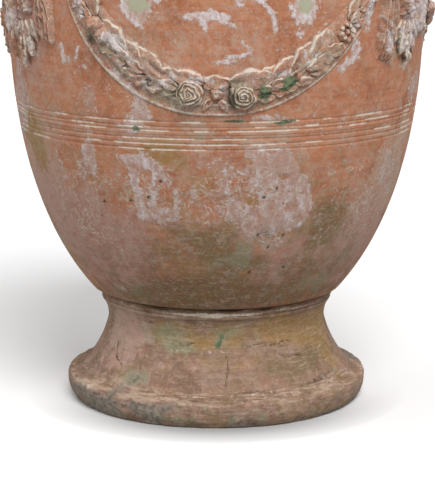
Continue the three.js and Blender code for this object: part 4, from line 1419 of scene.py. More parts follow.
# %% [markdown]
# ## Where the weather left its marks
# Slip flaked, glaze ran and dirt settled in particular places. A texture cannot know them, so each is a
# named mark: an angle round the vase from its front, a height, half its width and height, a lean in
# degrees and a strength. A very wide mark is a ring all round, and a strength below zero takes away.
# The marks are summed on every point of every piece and stored as attributes. A few are painted light
# and shade on the foot, under the bowl and under the tassels' bunches.

# %% Marks of slip
def marks_in(*layers):
    return sum(len(marks) for groups in layers for marks in groups.values())


SLIP_MARKS = {
    "star under the neck": [
        (-4, 520, 14, 8, 0, 0.85), (-7, 520, 8, 4, 0, 0.8), (-2.8, 511, 5, 10, 0, 0.8),
        (1, 520, 13, 6, 0, 0.8), (3, 514, 9, 6, -30, 0.8), (5, 507, 7, 5, -40, 0.7),
        (-1, 527, 6, 5, 0, 0.6),
    ],
    "left tongue": [
        (-21, 519, 13, 10, 0, 0.75), (-20, 532, 25, 14, 0, 0.8), (-19.6, 511, 5, 8, 0, 0.5),
    ],
    "right tongue": [(23, 519, 15, 12, 0, 0.8), (23, 532, 20, 16, 0, 0.8), (21.6, 497, 6, 8, 0, 0.7)],
    "runs at the top": [
        (6, 537, 7, 8, 0, 0.75), (11, 538, 11, 3, 0, 0.7), (13, 531, 3, 11, 30, 0.75),
        (14.4, 520, 3, 11, 10, 0.8), (15, 507, 4, 9, 0, 0.75),
    ],
    "small spots": [
        (-12.2, 499, 6, 5, 0, 0.65), (-10.7, 491, 6, 5, 0, 0.65), (-36.6, 456, 6, 4, 0, 0.65),
    ],
    "faint lines": [
        (6.8, 489, 4, 6, 20, 0.5), (8.3, 481, 5, 6, 0, 0.5), (5.5, 474, 16, 3.5, 0, 0.7),
        (2.5, 467, 20, 3.5, 0, 0.8),
    ],
    "by the right tail": [
        (38.8, 475, 9, 13, 0, 0.85), (36.5, 462, 8, 7, 20, 0.75), (34, 455, 9, 7, 10, 0.75),
    ],
    "by the left tail": [
        (-44.2, 473, 4, 12, 10, 0.75), (-42.3, 463, 8, 5, 0, 0.75), (-39, 470, 4, 12, -20, 0.75),
    ],
    "under the garland": [
        (-17, 403, 9, 7, 0, 0.5), (-20.3, 412, 11, 14, 0, 0.8), (-21, 399, 15, 9, 0, 0.75),
        (-23, 388, 11, 7, 0, 0.55), (-23.5, 437, 5, 24, 45, 0.75),
    ],
    "garland crust": [
        (-27, 492, 8, 13, 40, 0.7), (-23.5, 480, 7, 10, 45, 0.7), (-21, 468, 6, 7, 40, 0.45),
        (-17, 451, 6, 6, 0, 0.4), (-12, 444, 14, 5, 20, 0.6), (-6, 446, 10, 6, 0, 0.4),
        (2, 437, 10, 8, 0, 0.3), (17, 455, 22, 4, 10, 0.5), (25, 478, 9, 22, -45, 0.15),
        (29, 510, 8, 20, -30, 0.28), (-18, 440, 8, 8, 0, 0.4),
    ],
    "tassel crust": [
        (58, 476, 14, 16, 0, 0.45), (50, 478, 8, 16, 0, 0.35), (-57, 472, 13, 20, 0, 0.35),
        (-64, 510, 20, 30, 0, 0.1),
    ],
    # Near 452 mm, here and at the left end: slip and painted light lifting the shade under the bunches.
    "right end of the garland": [
        (43, 523, 12, 12, 0, 0.8), (43, 503, 9, 10, 0, 0.7), (37, 503, 8, 9, 0, 0.4),
        (50, 494, 10, 22, 0, 0.45), (61, 453, 9, 11, 0, 0.5),
    ],
    "left end of the garland": [(-37, 525, 9, 14, 0, 0.65), (-61, 452, 10, 12, 0, 0.4)],
    "over the roses": [(-2.4, 446, 10, 6, 0, 0.5), (9, 509, 5, 4, 0, 0.5), (5, 499, 5, 3, 0, 0.5)],
    "on the belt": [
        (14, 400, 26, 5, 0, 0.75), (2, 377, 18, 5, 0, 0.5), (-24, 386, 18, 8, 0, 0.4),
        (14, 363, 18, 6, 0, 0.7), (-37, 378, 6, 12, 0, 0.4),
    ],
    "block on the left": [
        (-41, 328, 9, 12, 0, 0.45), (-38, 348, 12, 16, 0, 0.8), (-37.5, 333, 11, 12, 0, 0.7),
    ],
    "left drips": [
        (-24.5, 346, 14, 9, 0, 0.8), (-20.5, 344, 15, 11, 0, 0.8), (-17, 339, 9, 10, 0, 0.75),
        (-23.6, 331, 8, 15, 0, 0.8), (-23.2, 314, 7, 15, 0, 0.8), (-23, 296, 7, 15, 0, 0.8),
        (-23, 277, 6, 14, 0, 0.7), (-16, 331, 8, 9, -30, 0.7), (-14.3, 322, 6, 10, 20, 0.7),
        (-12.2, 309, 6, 12, 10, 0.6), (-11.3, 293, 6, 13, 0, 0.6), (-20.5, 278, 13, 9, 0, 0.7),
        (-17, 274, 15, 10, 0, 0.8), (-13.3, 281, 11, 10, 0, 0.7), (-17.6, 316, 7, 14, 20, 0.65),
        (-18.8, 298, 10, 15, 0, 0.35), (-17, 285, 12, 9, 0, 0.35),
    ],
    "middle": [
        (-4, 301, 24, 6, 0, 0.45), (0, 290, 22, 8, 0, 0.5), (3, 280, 11, 8, 0, 0.55),
        (5, 297, 8, 12, 0, 0.5), (-6.5, 312, 5, 10, 0, 0.4), (0, 345, 30, 8, 0, 0.2),
    ],
    "big patch": [
        (11, 357, 17, 9, 0, 0.8), (16, 352, 24, 14, 0, 0.85), (20, 342, 13, 13, 0, 0.75),
        (4, 332, 14, 10, 0, 0.7), (3.2, 316, 9, 14, 0, 0.65), (12.5, 331, 28, 14, 0, 0.85),
        (13, 312, 24, 15, 0, 0.8), (20, 318, 26, 22, 0, 0.85), (25, 306, 13, 19, 0, 0.8),
        (26.5, 285, 13, 17, 0, 0.75), (8, 284, 18, 12, 0, 0.7), (16, 288, 32, 17, 0, 0.85),
        (14, 270, 32, 13, 0, 0.8), (22, 268, 24, 13, 0, 0.75), (13, 252, 22, 9, 0, 0.55),
        (17, 240, 18, 9, 0, 0.4),
    ],
    "left flank": [(-50, 348, 10, 16, 0, 0.3), (-51, 315, 14, 20, 0, 0.3), (-47, 254, 18, 14, 0, 0.4)],
    "right flank": [
        (60, 318, 18, 34, 0, 0.6), (66, 300, 14, 50, 0, 0.4), (54, 280, 22, 30, 0, 0.35),
        (46, 352, 8, 10, 0, 0.35),
    ],
    "windows": [
        (6.8, 321, 9, 9, 20, -1.2), (18.6, 327, 9, 5, 0, -1.6), (15.4, 310, 6, 4, 0, -1.4),
        (24, 303, 7, 4, 0, -0.7), (-20.4, 323, 6, 8, 10, -0.9), (-14, 304, 7, 12, 10, -0.9),
        (31, 325, 16, 30, 0, -0.4), (8.2, 305, 6, 5, 0, -0.5), (23.4, 356, 9, 9, 0, -0.6),
        (10.8, 298, 8, 11, 0, -1.0), (12.7, 313, 6, 6, 0, -0.6),
    ],
}
print("marks of slip:", marks_in(SLIP_MARKS))

# %% [markdown]
# ## Scratches, bloom, film and painted shade
# Curly scratches lie where slip came off, a pink bloom on the flanks, and a brown film low on the belly,
# where the wall stays damp. On the foot the film is painted shade too: it darkens the right side and the
# plinth's side below the ledge. They are broad and soft, so a few large marks do where slip needs many
# small ones.

# %% Marks of scratches, bloom, film and painted shade
TANGLE_MARKS = {
    "middle": [(0, 298, 50, 36, 0, 0.85), (-18, 320, 60, 50, 0, 0.4), (15, 310, 60, 60, 0, 0.4)],
    "flanks": [(-42, 280, 70, 80, 0, 0.55), (50, 290, 60, 70, 0, 0.45)],
    "wall": [(8, 482, 40, 24, 0, 0.35), (-30, 430, 50, 50, 0, 0.25), (25, 400, 60, 30, 0, 0.2)],
}
PINK_MARKS = {
    "left flank": [
        (-58, 300, 60, 70, 0, 0.6), (-42, 240, 60, 60, 0, 0.9), (-40, 180, 50, 40, 0, 0.8),
        (-28, 190, 24, 40, 0, 0.4), (-35, 418, 12, 22, 0, 0.55), (-43, 522, 10, 16, 0, 0.6),
        (-55, 440, 40, 60, 0, 0.1), (-38, 300, 22, 26, 0, 0.4), (-37, 360, 12, 16, 0, 0.4),
    ],
    "right flank": [(58, 290, 46, 70, 0, 0.4), (52, 210, 50, 60, 0, 0.7), (50, 400, 30, 40, 0, 0.25)],
    "middle": [(0, 345, 40, 14, 0, 0.35), (-4, 300, 50, 40, 0, 0.3), (-28, 262, 34, 24, 0, 0.4)],
    "low": [
        (22, 205, 34, 36, 0, 0.6), (20, 160, 34, 10, 0, 0.35), (-33, 205, 16, 40, 0, 0.3),
        (0, 215, 3000, 60, 0, 0.35),
    ],
    "garland": [
        (-27, 482, 26, 40, 30, 0.6), (-17, 450, 34, 22, 0, 0.5), (10, 450, 34, 16, 0, 0.5),
        (-60, 490, 60, 80, 0, 0.6),
    ],
    "foot": [
        (-52, 95, 40, 40, 0, 0.75), (36, 68, 50, 14, 0, 0.5), (-20, 72, 60, 9, 0, 0.4),
        (-62, 60, 46, 14, 0, 0.35), (-10, 18, 24, 10, 0, 0.4), (26, 18, 26, 10, 0, 0.4),
        (60, 22, 30, 10, 0, 0.3),
    ],
}
FILM_AND_SHADE_MARKS = {
    "low belly": [
        (-8, 165, 75, 24, 0, 0.7), (-6, 202, 64, 36, 0, 0.6), (-10, 246, 56, 24, 0, 0.6),
        (3, 242, 28, 34, 0, 0.5), (-30, 165, 40, 18, 0, 0.5), (37, 262, 44, 38, 0, 0.58),
        (32, 205, 55, 45, 0, 0.3), (38, 172, 44, 20, 0, 0.3), (14, 170, 60, 18, 0, 0.4),
    ],
    "over the right rose": [(11.5, 445, 9, 7, 0, 0.45)],
    "under the patches": [
        (15, 217, 16, 14, 0, 0.5), (-14, 266, 14, 13, 0, 0.45), (36, 276, 32, 34, 0, 0.45),
    ],
    "base": [(180, 155, 900, 12, 0, 0.4), (0, 185, 3000, 50, 0, 0.3)],
    # Partly painted shade: darker on the foot's right side and on the plinth's side below the ledge.
    "foot": [
        (62, 76, 40, 34, 0, 0.7), (40, 62, 50, 18, 0, 0.35), (0, 124, 90, 8, 0, 0.3),
        (0, 37, 900, 6, 0, 0.3), (45, 18, 90, 18, 0, 0.3), (0, 140, 900, 7, 0, 0.4),
        (-10, 104, 60, 18, 0, 0.3), (38, 64, 64, 18, 0, 0.4),
    ],
}
print("marks of scratches, bloom and film:", marks_in(TANGLE_MARKS, PINK_MARKS, FILM_AND_SHADE_MARKS))

# %% [markdown]
# ## Ochre and moss
# Ochre stains lie under the belt and round the waist of the foot. Moss, a dull grey green, holds on in
# the garland, low on the belly and on the foot. Noise alone would spread them evenly.

# %% Marks of ochre and moss
OCHRE_MARKS = {
    "under the belt": [
        (-17, 353, 30, 13, 0, 1.1), (-14, 367, 30, 10, 0, 0.7), (-9, 345, 14, 12, 0, 0.5),
    ],
    "left edge": [(-66, 368, 38, 30, 0, 1.0), (-62, 335, 24, 28, 0, 0.8)],
    "belly": [
        (11, 291, 14, 16, 0, 0.8), (4, 262, 12, 10, 0, 0.55), (-21, 266, 10, 12, 0, 0.4),
        (-11.5, 298, 7, 20, 0, 0.5), (30, 300, 30, 20, 0, 0.3), (-4, 322, 24, 14, 0, 0.5),
        (-8, 215, 50, 40, 0, 0.3),
    ],
    "waist": [
        (-22, 108, 36, 17, 0, 0.95), (-8, 97, 22, 9, 0, 0.8), (4, 110, 22, 15, 0, 0.85),
        (30, 117, 36, 15, 0, 0.95), (48, 108, 42, 21, 0, 1.2), (66, 104, 36, 22, 0, 0.85),
        (30, 100, 22, 9, 0, 0.6),
    ],
    "flare": [(12, 76, 70, 10, 0, 0.35), (13.5, 99, 22, 18, 0, 0.45)],
}
MOSS_MARKS = {
    "belly": [
        (8.7, 223, 15, 24, 0, 0.75), (14, 248, 28, 14, 0, 0.5), (19, 262, 28, 12, 0, 0.5),
        (24, 270, 15, 11, 0, 0.45), (3, 218, 20, 12, 0, 0.5), (-33, 170, 22, 12, 0, 0.5),
        (40, 176, 40, 18, 0, 0.5), (48, 215, 40, 40, 0, 0.4),
    ],
    "left edge": [(-62, 335, 24, 40, 0, 0.25)],
    "garland": [
        (-29, 477, 9, 16, 40, 0.5), (-24, 457, 14, 14, 40, 0.6), (-18, 438, 18, 11, 20, 0.7),
        (-12, 431, 14, 13, 0, 0.7), (-7, 424, 18, 12, 0, 0.6), (4, 431, 9, 16, 0, 0.6),
        (7.5, 435, 10, 12, 0, 0.6), (-34, 494, 8, 10, 0, 0.5), (-14, 420, 24, 6, 0, 0.4),
        (8, 417, 20, 6, 0, 0.3), (-8.6, 431, 17, 17, 0, 0.5), (5.3, 431, 17, 17, 0, 0.5),
    ],
    "belt": [
        (16, 400, 22, 6, 0, 0.6), (0, 394, 40, 8, 0, 0.35), (-21, 388, 12, 8, 0, 0.5),
        (-6, 378, 30, 6, 0, 0.4), (20, 372, 30, 10, 0, 0.3),
    ],
    "waist": [
        (-19, 91, 28, 7, 0, 0.8), (-24, 109, 34, 14, 0, 0.75), (2, 110, 14, 16, 0, 0.75),
        (11, 114, 14, 9, 0, 0.7),
    ],
    "foot": [
        (-38, 50, 20, 11, 0, 0.9), (58, 46, 28, 6, 0, 0.5), (-50, 15, 70, 15, 0, 0.5),
        (-10, 9, 40, 9, 0, 0.5), (6, 10, 8, 12, 0, 0.8), (17, 11, 9, 11, 0, 0.8),
        (-24, 14, 14, 12, 0, 0.6), (38, 14, 12, 12, 0, 0.5),
    ],
    "tassels": [(57, 466, 14, 14, 0, 0.4)],
}
print("marks of ochre and moss:", marks_in(OCHRE_MARKS, MOSS_MARKS))

# %% [markdown]
# ## Dust, painted light, glaze and lichen
# Dust lightens the flanks and the belt, and marks below zero keep it off some places. On the plinth's
# ledge and just under the joint the same layer is painted light: the ledge is paler, as if lit from
# above, and the shade under the bowl is lifted. Drops of green glaze lie by the roses, on the belt and on
# the waist, and are paler high on the wall. Lichen sits mostly on the plinth. Particles could scatter
# drops, but not put them where they are.

# %% Marks of dust, painted light, glaze and lichen
DUST_AND_LIGHT_MARKS = {
    "belly": [
        (0, 290, 260, 90, 0, 0.15), (-20, 470, 60, 60, 0, 0.1), (-64, 300, 60, 110, 0, 0.95),
        (58, 260, 60, 80, 0, 0.8), (66, 330, 40, 60, 0, 0.6),
    ],
    "upper wall": [
        (-12, 480, 60, 60, 0, 0.3), (6, 475, 40, 30, 0, 0.25), (6, 466, 24, 12, 0, 0.3),
        (6.7, 508, 11, 11, 0, 0.4),
    ],
    "belt": [
        (0, 380, 200, 22, 0, 0.42), (-50, 385, 50, 30, 0, 0.2), (27, 374, 28, 18, 0, -0.45),
        (-54, 412, 26, 26, 0, -0.4),
    ],
    # Painted light: the plinth's ledge and upper edge made paler, as if lit from above.
    "plinth": [
        (-40, 40, 60, 8, 0, 0.4), (-60, 30, 30, 5, 0, 0.6), (50, 39, 50, 6, 0, 0.5),
        (0, 33, 300, 2.5, 0, 0.3),
    ],
    "waist left": [(-50, 112, 40, 36, 0, 0.85), (-60, 80, 44, 40, 0, 0.35), (-62, 93, 20, 14, 0, 0.4)],
    "tassels": [(-60, 490, 60, 80, 0, 0.25), (58, 490, 50, 70, 0, 0.25)],
    "right flank": [(56, 270, 20, 26, 0, 0.4)],
    # The first joint mark is painted light, lifting the shade under the bowl and coil.
    "joint": [(-22, 133, 18, 5, 0, 0.5), (-50, 133, 30, 8, 0, 0.6), (0, 137, 60, 3, 0, 0.4)],
}
GLAZE_MARKS = {
    "by the roses": [(12, 431, 11, 9, 0, 1.0), (18.3, 441, 12, 8, 35, 1.0)],
    "belt": [
        (4.5, 397, 14, 2.4, 0, 0.75), (18.3, 394.5, 16, 2.8, 4, 0.9), (7, 378, 5, 3, 0, 0.65),
        (-21.5, 386, 5, 4, 0, 0.8), (-17, 368, 3, 3, 0, 0.5),
    ],
    "waist": [(2.5, 105, 5, 8, -20, 0.55), (0.8, 95, 6, 5, 0, 0.6), (7, 115, 6, 6, 0, 0.5)],
    "tongues": [(-20, 534, 16, 11, 0, 0.85), (23, 534, 11, 12, 0, 0.9)],
}
PALE_MARKS = {
    "tongues": [(-20, 532, 40, 30, 0, 1.0), (23, 533, 40, 30, 0, 1.0)],
}
LICHEN_MARKS = {
    "plinth": [
        (-52, 18, 76, 14, 0, 0.65), (-25, 16, 26, 10, 0, 0.6), (-17, 28, 26, 7, 0, 0.6),
        (-43, 38, 20, 8, 0, 0.4), (-31, 25, 22, 8, 0, 0.45), (-62, 27, 16, 9, 0, 0.35),
        (0, 4, 900, 5, 0, 0.45), (12, 12, 30, 8, 0, 0.45), (50, 20, 50, 9, 0, 0.35),
    ],
    "flare": [(-38, 50, 16, 9, 0, 0.5), (58, 45, 30, 5, 0, 0.4)],
    "foot of the big patch": [(19, 264, 34, 14, 0, 0.3), (13, 250, 22, 10, 0, 0.3)],
    "joint": [(-18, 148, 50, 5, 0, 0.4), (10, 149, 60, 5, 0, 0.4)],
}
print("marks of dust:", marks_in(DUST_AND_LIGHT_MARKS), "glaze and lichen:", marks_in(GLAZE_MARKS, LICHEN_MARKS))

# %% [markdown]
# ## Pale edges, lines, dirt, painted light and shade
# Edges that stand out are rubbed pale; under the bunches of the tassels pale edge is painted light that
# lifts their shade. Hollows and the joint are darkened by dirt and painted shade, and a few deep pits
# stand alone. Painting the relief leaf by leaf would take long: edge and deep came with the moulds, and
# the marks add to them. Lines are short dashes along the turning, and white says where the slip stayed
# whitest.

# %% Marks of edges, lines, dirt, painted light and shade
EDGE_MARKS = {
    "plinth": [
        (-57.4, 31, 9, 4, 0, 0.6), (30, 36, 70, 1.6, 0, 0.3), (-16, 34, 90, 1.6, 0, 0.2),
        (10, 39, 60, 1.4, 0, 0.25),
    ],
    "joint": [(-2, 136, 66, 3, 0, 0.9), (40, 138, 40, 2, 0, 0.4)],
    "waist": [(-12, 88, 60, 1.6, 0, 0.4)],
    # The two marks near 450 mm are painted light, lifting the shade under the bunches.
    "tassels": [
        (-57, 478, 14, 24, 0, 0.3), (58, 470, 14, 22, 0, 0.3), (-66, 505, 18, 40, 0, 0.25),
        (61.5, 452, 10, 12, 0, 0.7), (-62, 450, 12, 12, 0, 0.6),
    ],
    "garland": [(-26, 470, 24, 30, 40, 0.2), (0, 430, 40, 14, 0, 0.15)],
}
LINE_MARKS = {
    "ledge": [(0, 36, 3000, 6, 0, 0.5), (-10, 36, 90, 5, 0, 0.2), (55, 42, 60, 6, 0, 0.3)],
    "waist": [(0, 100, 3000, 22, 0, 0.15), (0, 122, 3000, 8, 0, 0.2)],
    "plinth": [(0, 18, 3000, 14, 0, 0.3)],
}
WHITE_MARKS = {
    "upper wall": [(0, 520, 2000, 70, 0, 0.8)],
    "left drips": [(-22, 330, 50, 60, 0, 0.5)],
    "big patch": [(14, 310, 70, 60, 0, 0.15)],
}
# Dirt and painted shade: the joint under the bowl, hollows, the step under the flare, and pits.
DEEP_MARKS = {
    "joint": [
        (-28, 141, 18, 2.2, 0, 0.7), (-12, 144, 14, 1.6, 0, 0.5), (6, 143, 24, 2.2, 0, 1.0),
        (24, 141, 16, 1.8, 0, 0.7),
    ],
    "garland": [
        (4, 424, 4, 16, 10, 0.8), (-33.5, 490, 7, 9, 30, 0.8), (-31, 478, 4, 10, 40, 0.6),
        (-17.2, 443, 3, 9, 0, 0.7), (11.5, 446, 8, 6, 0, 0.4), (-9.3, 436, 4, 8, 0, 0.5),
        (-12, 420, 8, 4, 0, 0.5), (20.2, 449, 3, 8, 20, 0.7),
    ],
    "tassels": [(58, 459, 6, 5, 0, 0.5), (55, 480, 3, 14, 0, 0.4), (-50, 478, 3, 16, 0, 0.4)],
    "flare": [
        (-57, 82, 6, 8, 0, 0.4), (-55, 68, 5, 7, 0, 0.4), (-38, 47, 4, 4, 0, 0.6),
        (48, 42, 40, 1.6, 0, 0.6),
    ],
}
PIT = 2.5
PIT_PLACES = (
    (-34.9, 290), (-25.5, 295), (-19.7, 300.6), (-15.7, 322), (17.4, 312.6), (13.8, 302), (13, 252.8),
    (16.8, 235.8), (21.2, 250.8), (24, 205.8), (11.6, 202),
)
DEEP_MARKS["pits"] = [(at, height, PIT, PIT, 0, 1.0) for at, height in PIT_PLACES]
print("marks of edges, lines and dirt:", marks_in(EDGE_MARKS, LINE_MARKS, WHITE_MARKS, DEEP_MARKS))

# %% [markdown]
# ## Cracks, runs and weather
# A crack in the foot is a chain of places, each an angle and a height. Slip in a combed line is a list of
# stretches from angle to angle. A round mark would suit neither. Weather marks say where the clay's
# wandering hues show.

# %% Cracks, runs and weather
CRACKS = {
    "waist left": [(-20.9, 99), (-18.5, 95), (-15.3, 94), (-13, 97), (-10.8, 98.3)],
    "waist right": [
        (12, 94), (16, 92.8), (20, 94), (23.6, 95), (24.5, 93), (31.4, 91.5), (36, 94), (40.4, 93.2),
    ],
    "flare right": [(30.6, 83.4), (33, 78), (36.4, 74.3), (40, 76), (46, 73.8)],
    "flare front": [(4.7, 83), (5.6, 74), (5.3, 65), (4.4, 54), (4, 46)],
    "plinth front": [(8.2, 42.3), (13.3, 40.8), (17, 41.2), (20.7, 40.3)],
    "flare left": [(-36.9, 75.3), (-38.2, 68), (-37.8, 59.7)],
    "far left": [(-58.6, 84), (-57.5, 75), (-56.4, 68.6), (-52, 62), (-49.3, 59)],
    "far right": [(71, 70), (74.7, 61.2), (78, 52), (79.5, 47.4)],
    "plinth right": [(46.6, 43.7), (52, 44.6), (55.5, 44.4), (64.3, 45.8)],
}
BELT_RUNS = {
    BELT_LINES[0]: [(-50, -43), (-38, -29), (-26, -15.5), (-10, -3.5), (8, 23), (29, 33), (40, 52)],
    BELT_LINES[1]: [(-44, -34), (-26.5, -16.5), (9.5, 14), (24, 29), (44, 56)],
    BELT_LINES[2]: [(-40, -30), (-21, -12), (-6.5, -1.5), (2, 23), (38, 46)],
    BELT_LINES[3]: [(-38, -35), (-26.5, -5), (-2, 9), (48, 58)],
    BELT_LINES[4]: [(-38, -32.5), (-29.5, 6.5), (8.5, 20), (24, 31)],
    BELT_LINES[5]: [(-28.5, -19), (-18, -2), (11, 18)],
}
WEATHER_MARKS = {
    "belly": [(0, 290, 3000, 80, 0, 0.55), (0, 210, 3000, 60, 0, 0.4)],
    "foot": [(0, 70, 900, 50, 0, 0.1), (0, 15, 3000, 18, 0, 0.4)],
    "left flank": [(-60, 380, 60, 60, 0, 0.3)],
}
print("cracks:", len(CRACKS), "belt lines with slip:", len(BELT_RUNS))

# %% [markdown]
# ## Round the unseen sides
# The picture shows one side of the vase, but all sides have weathered alike. Mirroring the front would
# show, so marks of the same kinds are strewn there from fixed seeds.

# %% Marks round the unseen sides
SEEN_HALF = 64


def strewn(seed, count, low, high, widest, strength):
    """Marks of one kind, strewn over the side that no picture shows."""
    draw = random.Random(seed)
    marks = []
    for _ in range(count):
        size = widest * draw.uniform(0.3, 1)
        angle = draw.uniform(SEEN_HALF, 360 - SEEN_HALF)
        tall = size * draw.uniform(0.6, 1.6)
        height = draw.uniform(low, high)
        lean = draw.uniform(-25, 25)
        marks.append((angle, height, size, tall, lean, strength * draw.uniform(0.6, 1)))
    return marks


SLIP_MARKS["round the back"] = strewn(1, 46, 180, 620, 34, 0.8)
SLIP_MARKS["shoulder and rim"] = strewn(2, 26, 560, 750, 40, 0.9)
TANGLE_MARKS["round the back"] = strewn(3, 16, 200, 560, 60, 0.6)
PINK_MARKS["round the back"] = strewn(4, 14, 150, 600, 80, 0.6)
FILM_AND_SHADE_MARKS["round the back"] = strewn(5, 12, 60, 260, 80, 0.5)
OCHRE_MARKS["round the back"] = strewn(6, 12, 60, 420, 40, 0.6)
GLAZE_MARKS["round the back"] = strewn(7, 18, 540, 740, 18, 0.9)
PALE_MARKS["shoulder and rim"] = [(0, 640, 2000, 80, 0, 0.9)]
LICHEN_MARKS["round the back"] = strewn(8, 14, 5, 26, 40, 0.6)
print("marks strewn over the unseen side")

# %% [markdown]
# ## Painting the marks
# Vertex paint would be the way by hand. Here every point gets its angle round the vase, its height and
# its radius, and the marks are summed there, each fading outwards from its middle.

# %% Places and sums
def unrolled(mesh):
    """Angle round the vase in degrees from the front, height and radius of every point."""
    place = np.empty(len(mesh.vertices) * 3)
    mesh.vertices.foreach_get("co", place)
    x, y, z = place.reshape(-1, 3).T / MM
    return np.degrees(np.arctan2(x, -y)), z, np.hypot(x, y)


def summed(groups, angle, z, radius):
    """The marks of some groups, summed at every point."""
    total = np.zeros_like(z)
    for marks in groups.values():
        for at, height, half_width, half_height, lean, strength in marks:
            across = np.radians((angle - at + 180) % 360 - 180) * radius
            up = z - height
            cos, sin = math.cos(math.radians(lean)), math.sin(math.radians(lean))
            u = (across * cos + up * sin) / half_width
            v = (up * cos - across * sin) / half_height
            total += strength * np.exp(-((u * u + v * v) ** 1.5))
    return total


print("points on the wall:", len(unrolled(pieces["wall"].data)[1]))

# %% [markdown]
# ## The layers
# Each layer's attribute has a name that the finishes read. Relief gathers more dust, scratches and moss
# than the plain wall, so each finish has shares of its own everywhere, and the marks add to them. A paint
# layer per material could do that too, but sums are easier to tune.

# %% Paint the marks
LAYERS = {
    "slip": SLIP_MARKS,
    "tangle": TANGLE_MARKS,
    "pink": PINK_MARKS,
    "film": FILM_AND_SHADE_MARKS,
    "ochre": OCHRE_MARKS,
    "glaze": GLAZE_MARKS,
    "pale": PALE_MARKS,
    "lichen": LICHEN_MARKS,
    "edge": EDGE_MARKS,
    "deep": DEEP_MARKS,
    "dust": DUST_AND_LIGHT_MARKS,
    "white": WHITE_MARKS,
    "lines": LINE_MARKS,
    "moss": MOSS_MARKS,
    "weather": WEATHER_MARKS,
}
EVERYWHERE = {
    "body_clay": {"dust": 0.15, "slip": 0.02, "weather": 0.12},
    "foot_clay": {"dust": 0.1, "slip": -0.1, "weather": 0.3, "lines": 0.15},
    "relief_clay": {"dust": 0.3, "slip": 0.16, "tangle": 1.0, "white": 0.3, "weather": 0.5, "moss": 0.16},
}


def slot_of(node):
    return TURNED_PIECES[node][1] if node in TURNED_PIECES else "relief_clay"


def store(mesh, name, values):
    """Adds values to an attribute, which starts at zero."""
    layer = mesh.attributes.get(name) or mesh.attributes.new(name, "FLOAT", "POINT")
    present = np.zeros(len(mesh.vertices))
    layer.data.foreach_get("value", present)
    layer.data.foreach_set("value", present + values)


for node, piece in pieces.items():
    angle, z, radius = unrolled(piece.data)
    for name, groups in LAYERS.items():
        base = EVERYWHERE[slot_of(node)].get(name, 0.0)
        store(piece.data, name, base + summed(groups, angle, z, radius))
print("painted", marks_in(*LAYERS.values()), "marks in", len(LAYERS), "layers")

# %% [markdown]
# ## Slip in the belt
# Slip stayed in runs in the combed lines. A ring of noise could break a line up at random, but the runs
# at the front lie where the picture has them, and seeded runs go round the rest.

# %% Slip on the belt lines
RUN_SOFT = 1.2
BELT_SEED = 9
BELT_SLIP = 1.15
BELT_SLIP_HALF = 1.15
RUN_LENGTH = (3, 16)
RUN_BREAK = (2, 12)
WALL_SKIN = 8


def run_share(angle, start, end):
    """1 inside a stretch of angles and 0 outside, with soft ends."""
    return np.clip((angle - start) / RUN_SOFT, 0, 1) * np.clip((end - angle) / RUN_SOFT, 0, 1)


def belt_slip(angle, z):
    """Slip that stayed on the combed lines, in runs on the front and in seeded runs elsewhere."""
    draw = random.Random(BELT_SEED)
    total = np.zeros_like(z)
    for line, runs in BELT_RUNS.items():
        at = float(SEEN_HALF)
        more = []
        while at < 360 - SEEN_HALF:
            end = at + draw.uniform(*RUN_LENGTH)
            more.append((at, end))
            at = end + draw.uniform(*RUN_BREAK)
        around = angle % 360
        present = sum(run_share(angle, *run) for run in runs)
        present = present + sum(run_share(around, *run) for run in more)
        total += BELT_SLIP * np.minimum(present, 1) * hill(z, line, BELT_SLIP_HALF)
    return total


for node in ("bowl", "wall"):
    angle, z, radius = unrolled(pieces[node].data)
    outside = radius > body_radius(z) - WALL_SKIN
    store(pieces[node].data, "edge", belt_slip(angle, z) * outside)
print("slip on", len(BELT_RUNS), "belt lines")

# %% [markdown]
# ## Cracks in the foot
# Frost cracked the foot. A bump in the finish could fake that, but here each point of the mesh near a
# crack's chain sinks in and gets dark, so that the crack is real depth; the dark is painted shade inside
# the crack. A small wave keeps its line from being straight.

# %% Cracks in the foot
CRACK_HALF = 0.9
CRACK_DEPTH = 2.0
CRACK_DARK = 0.62
CRACK_JITTER = 1.1
FOOT_SKIN = 125


def crack_depth(angle, z, radius):
    """How near each point is to a crack, from 1 on its line to 0 beside it."""
    nearest = np.full_like(z, 100.0)
    for path in CRACKS.values():
        for (a0, z0), (a1, z1) in zip(path, path[1:]):
            reach = np.radians(a1 - a0) * radius
            across = np.radians(angle - a0) * radius
            share = np.clip((across * reach + (z - z0) * (z1 - z0)) / (reach**2 + (z1 - z0) ** 2), 0, 1)
            nearest = np.minimum(nearest, np.hypot(across - share * reach, z - z0 - share * (z1 - z0)))
    return np.exp(-((nearest / CRACK_HALF) ** 2))


def dent(mesh, depth):
    """Moves points towards the axis by a depth in millimetres."""
    place = np.empty(len(mesh.vertices) * 3)
    mesh.vertices.foreach_get("co", place)
    place = place.reshape(-1, 3)
    radius = np.hypot(place[:, 0], place[:, 1])
    place[:, :2] *= ((radius - depth * MM) / radius)[:, None]
    mesh.vertices.foreach_set("co", place.ravel())


foot = pieces["foot"].data
angle, z, radius = unrolled(foot)
jitter = CRACK_JITTER * np.sin(angle * 2.3) * np.sin(z * 0.9 + angle * 0.7)
near = crack_depth(angle, z + jitter, radius) * (radius > FOOT_SKIN)
# Painted shade inside the cracks.
store(foot, "deep", CRACK_DARK * near)
dent(foot, CRACK_DEPTH * near)
print("points in cracks:", int((near > 0.5).sum()))

# %% [markdown]
# ## Fitting the pieces to the frame
# Each piece rides on the frame's only body and stands for the solid it replaces.
# Nothing on the vase moves, so there is one body. Edges sharper than a set angle keep a crisp crease.

# %% Ride and replace
CREASE = math.radians(50)
for node, piece in pieces.items():
    piece.data.set_sharp_from_angle(angle=CREASE)
    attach(piece, "root")
    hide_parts(node)
    slot_of(node)
print("pieces fitted:", len(pieces))

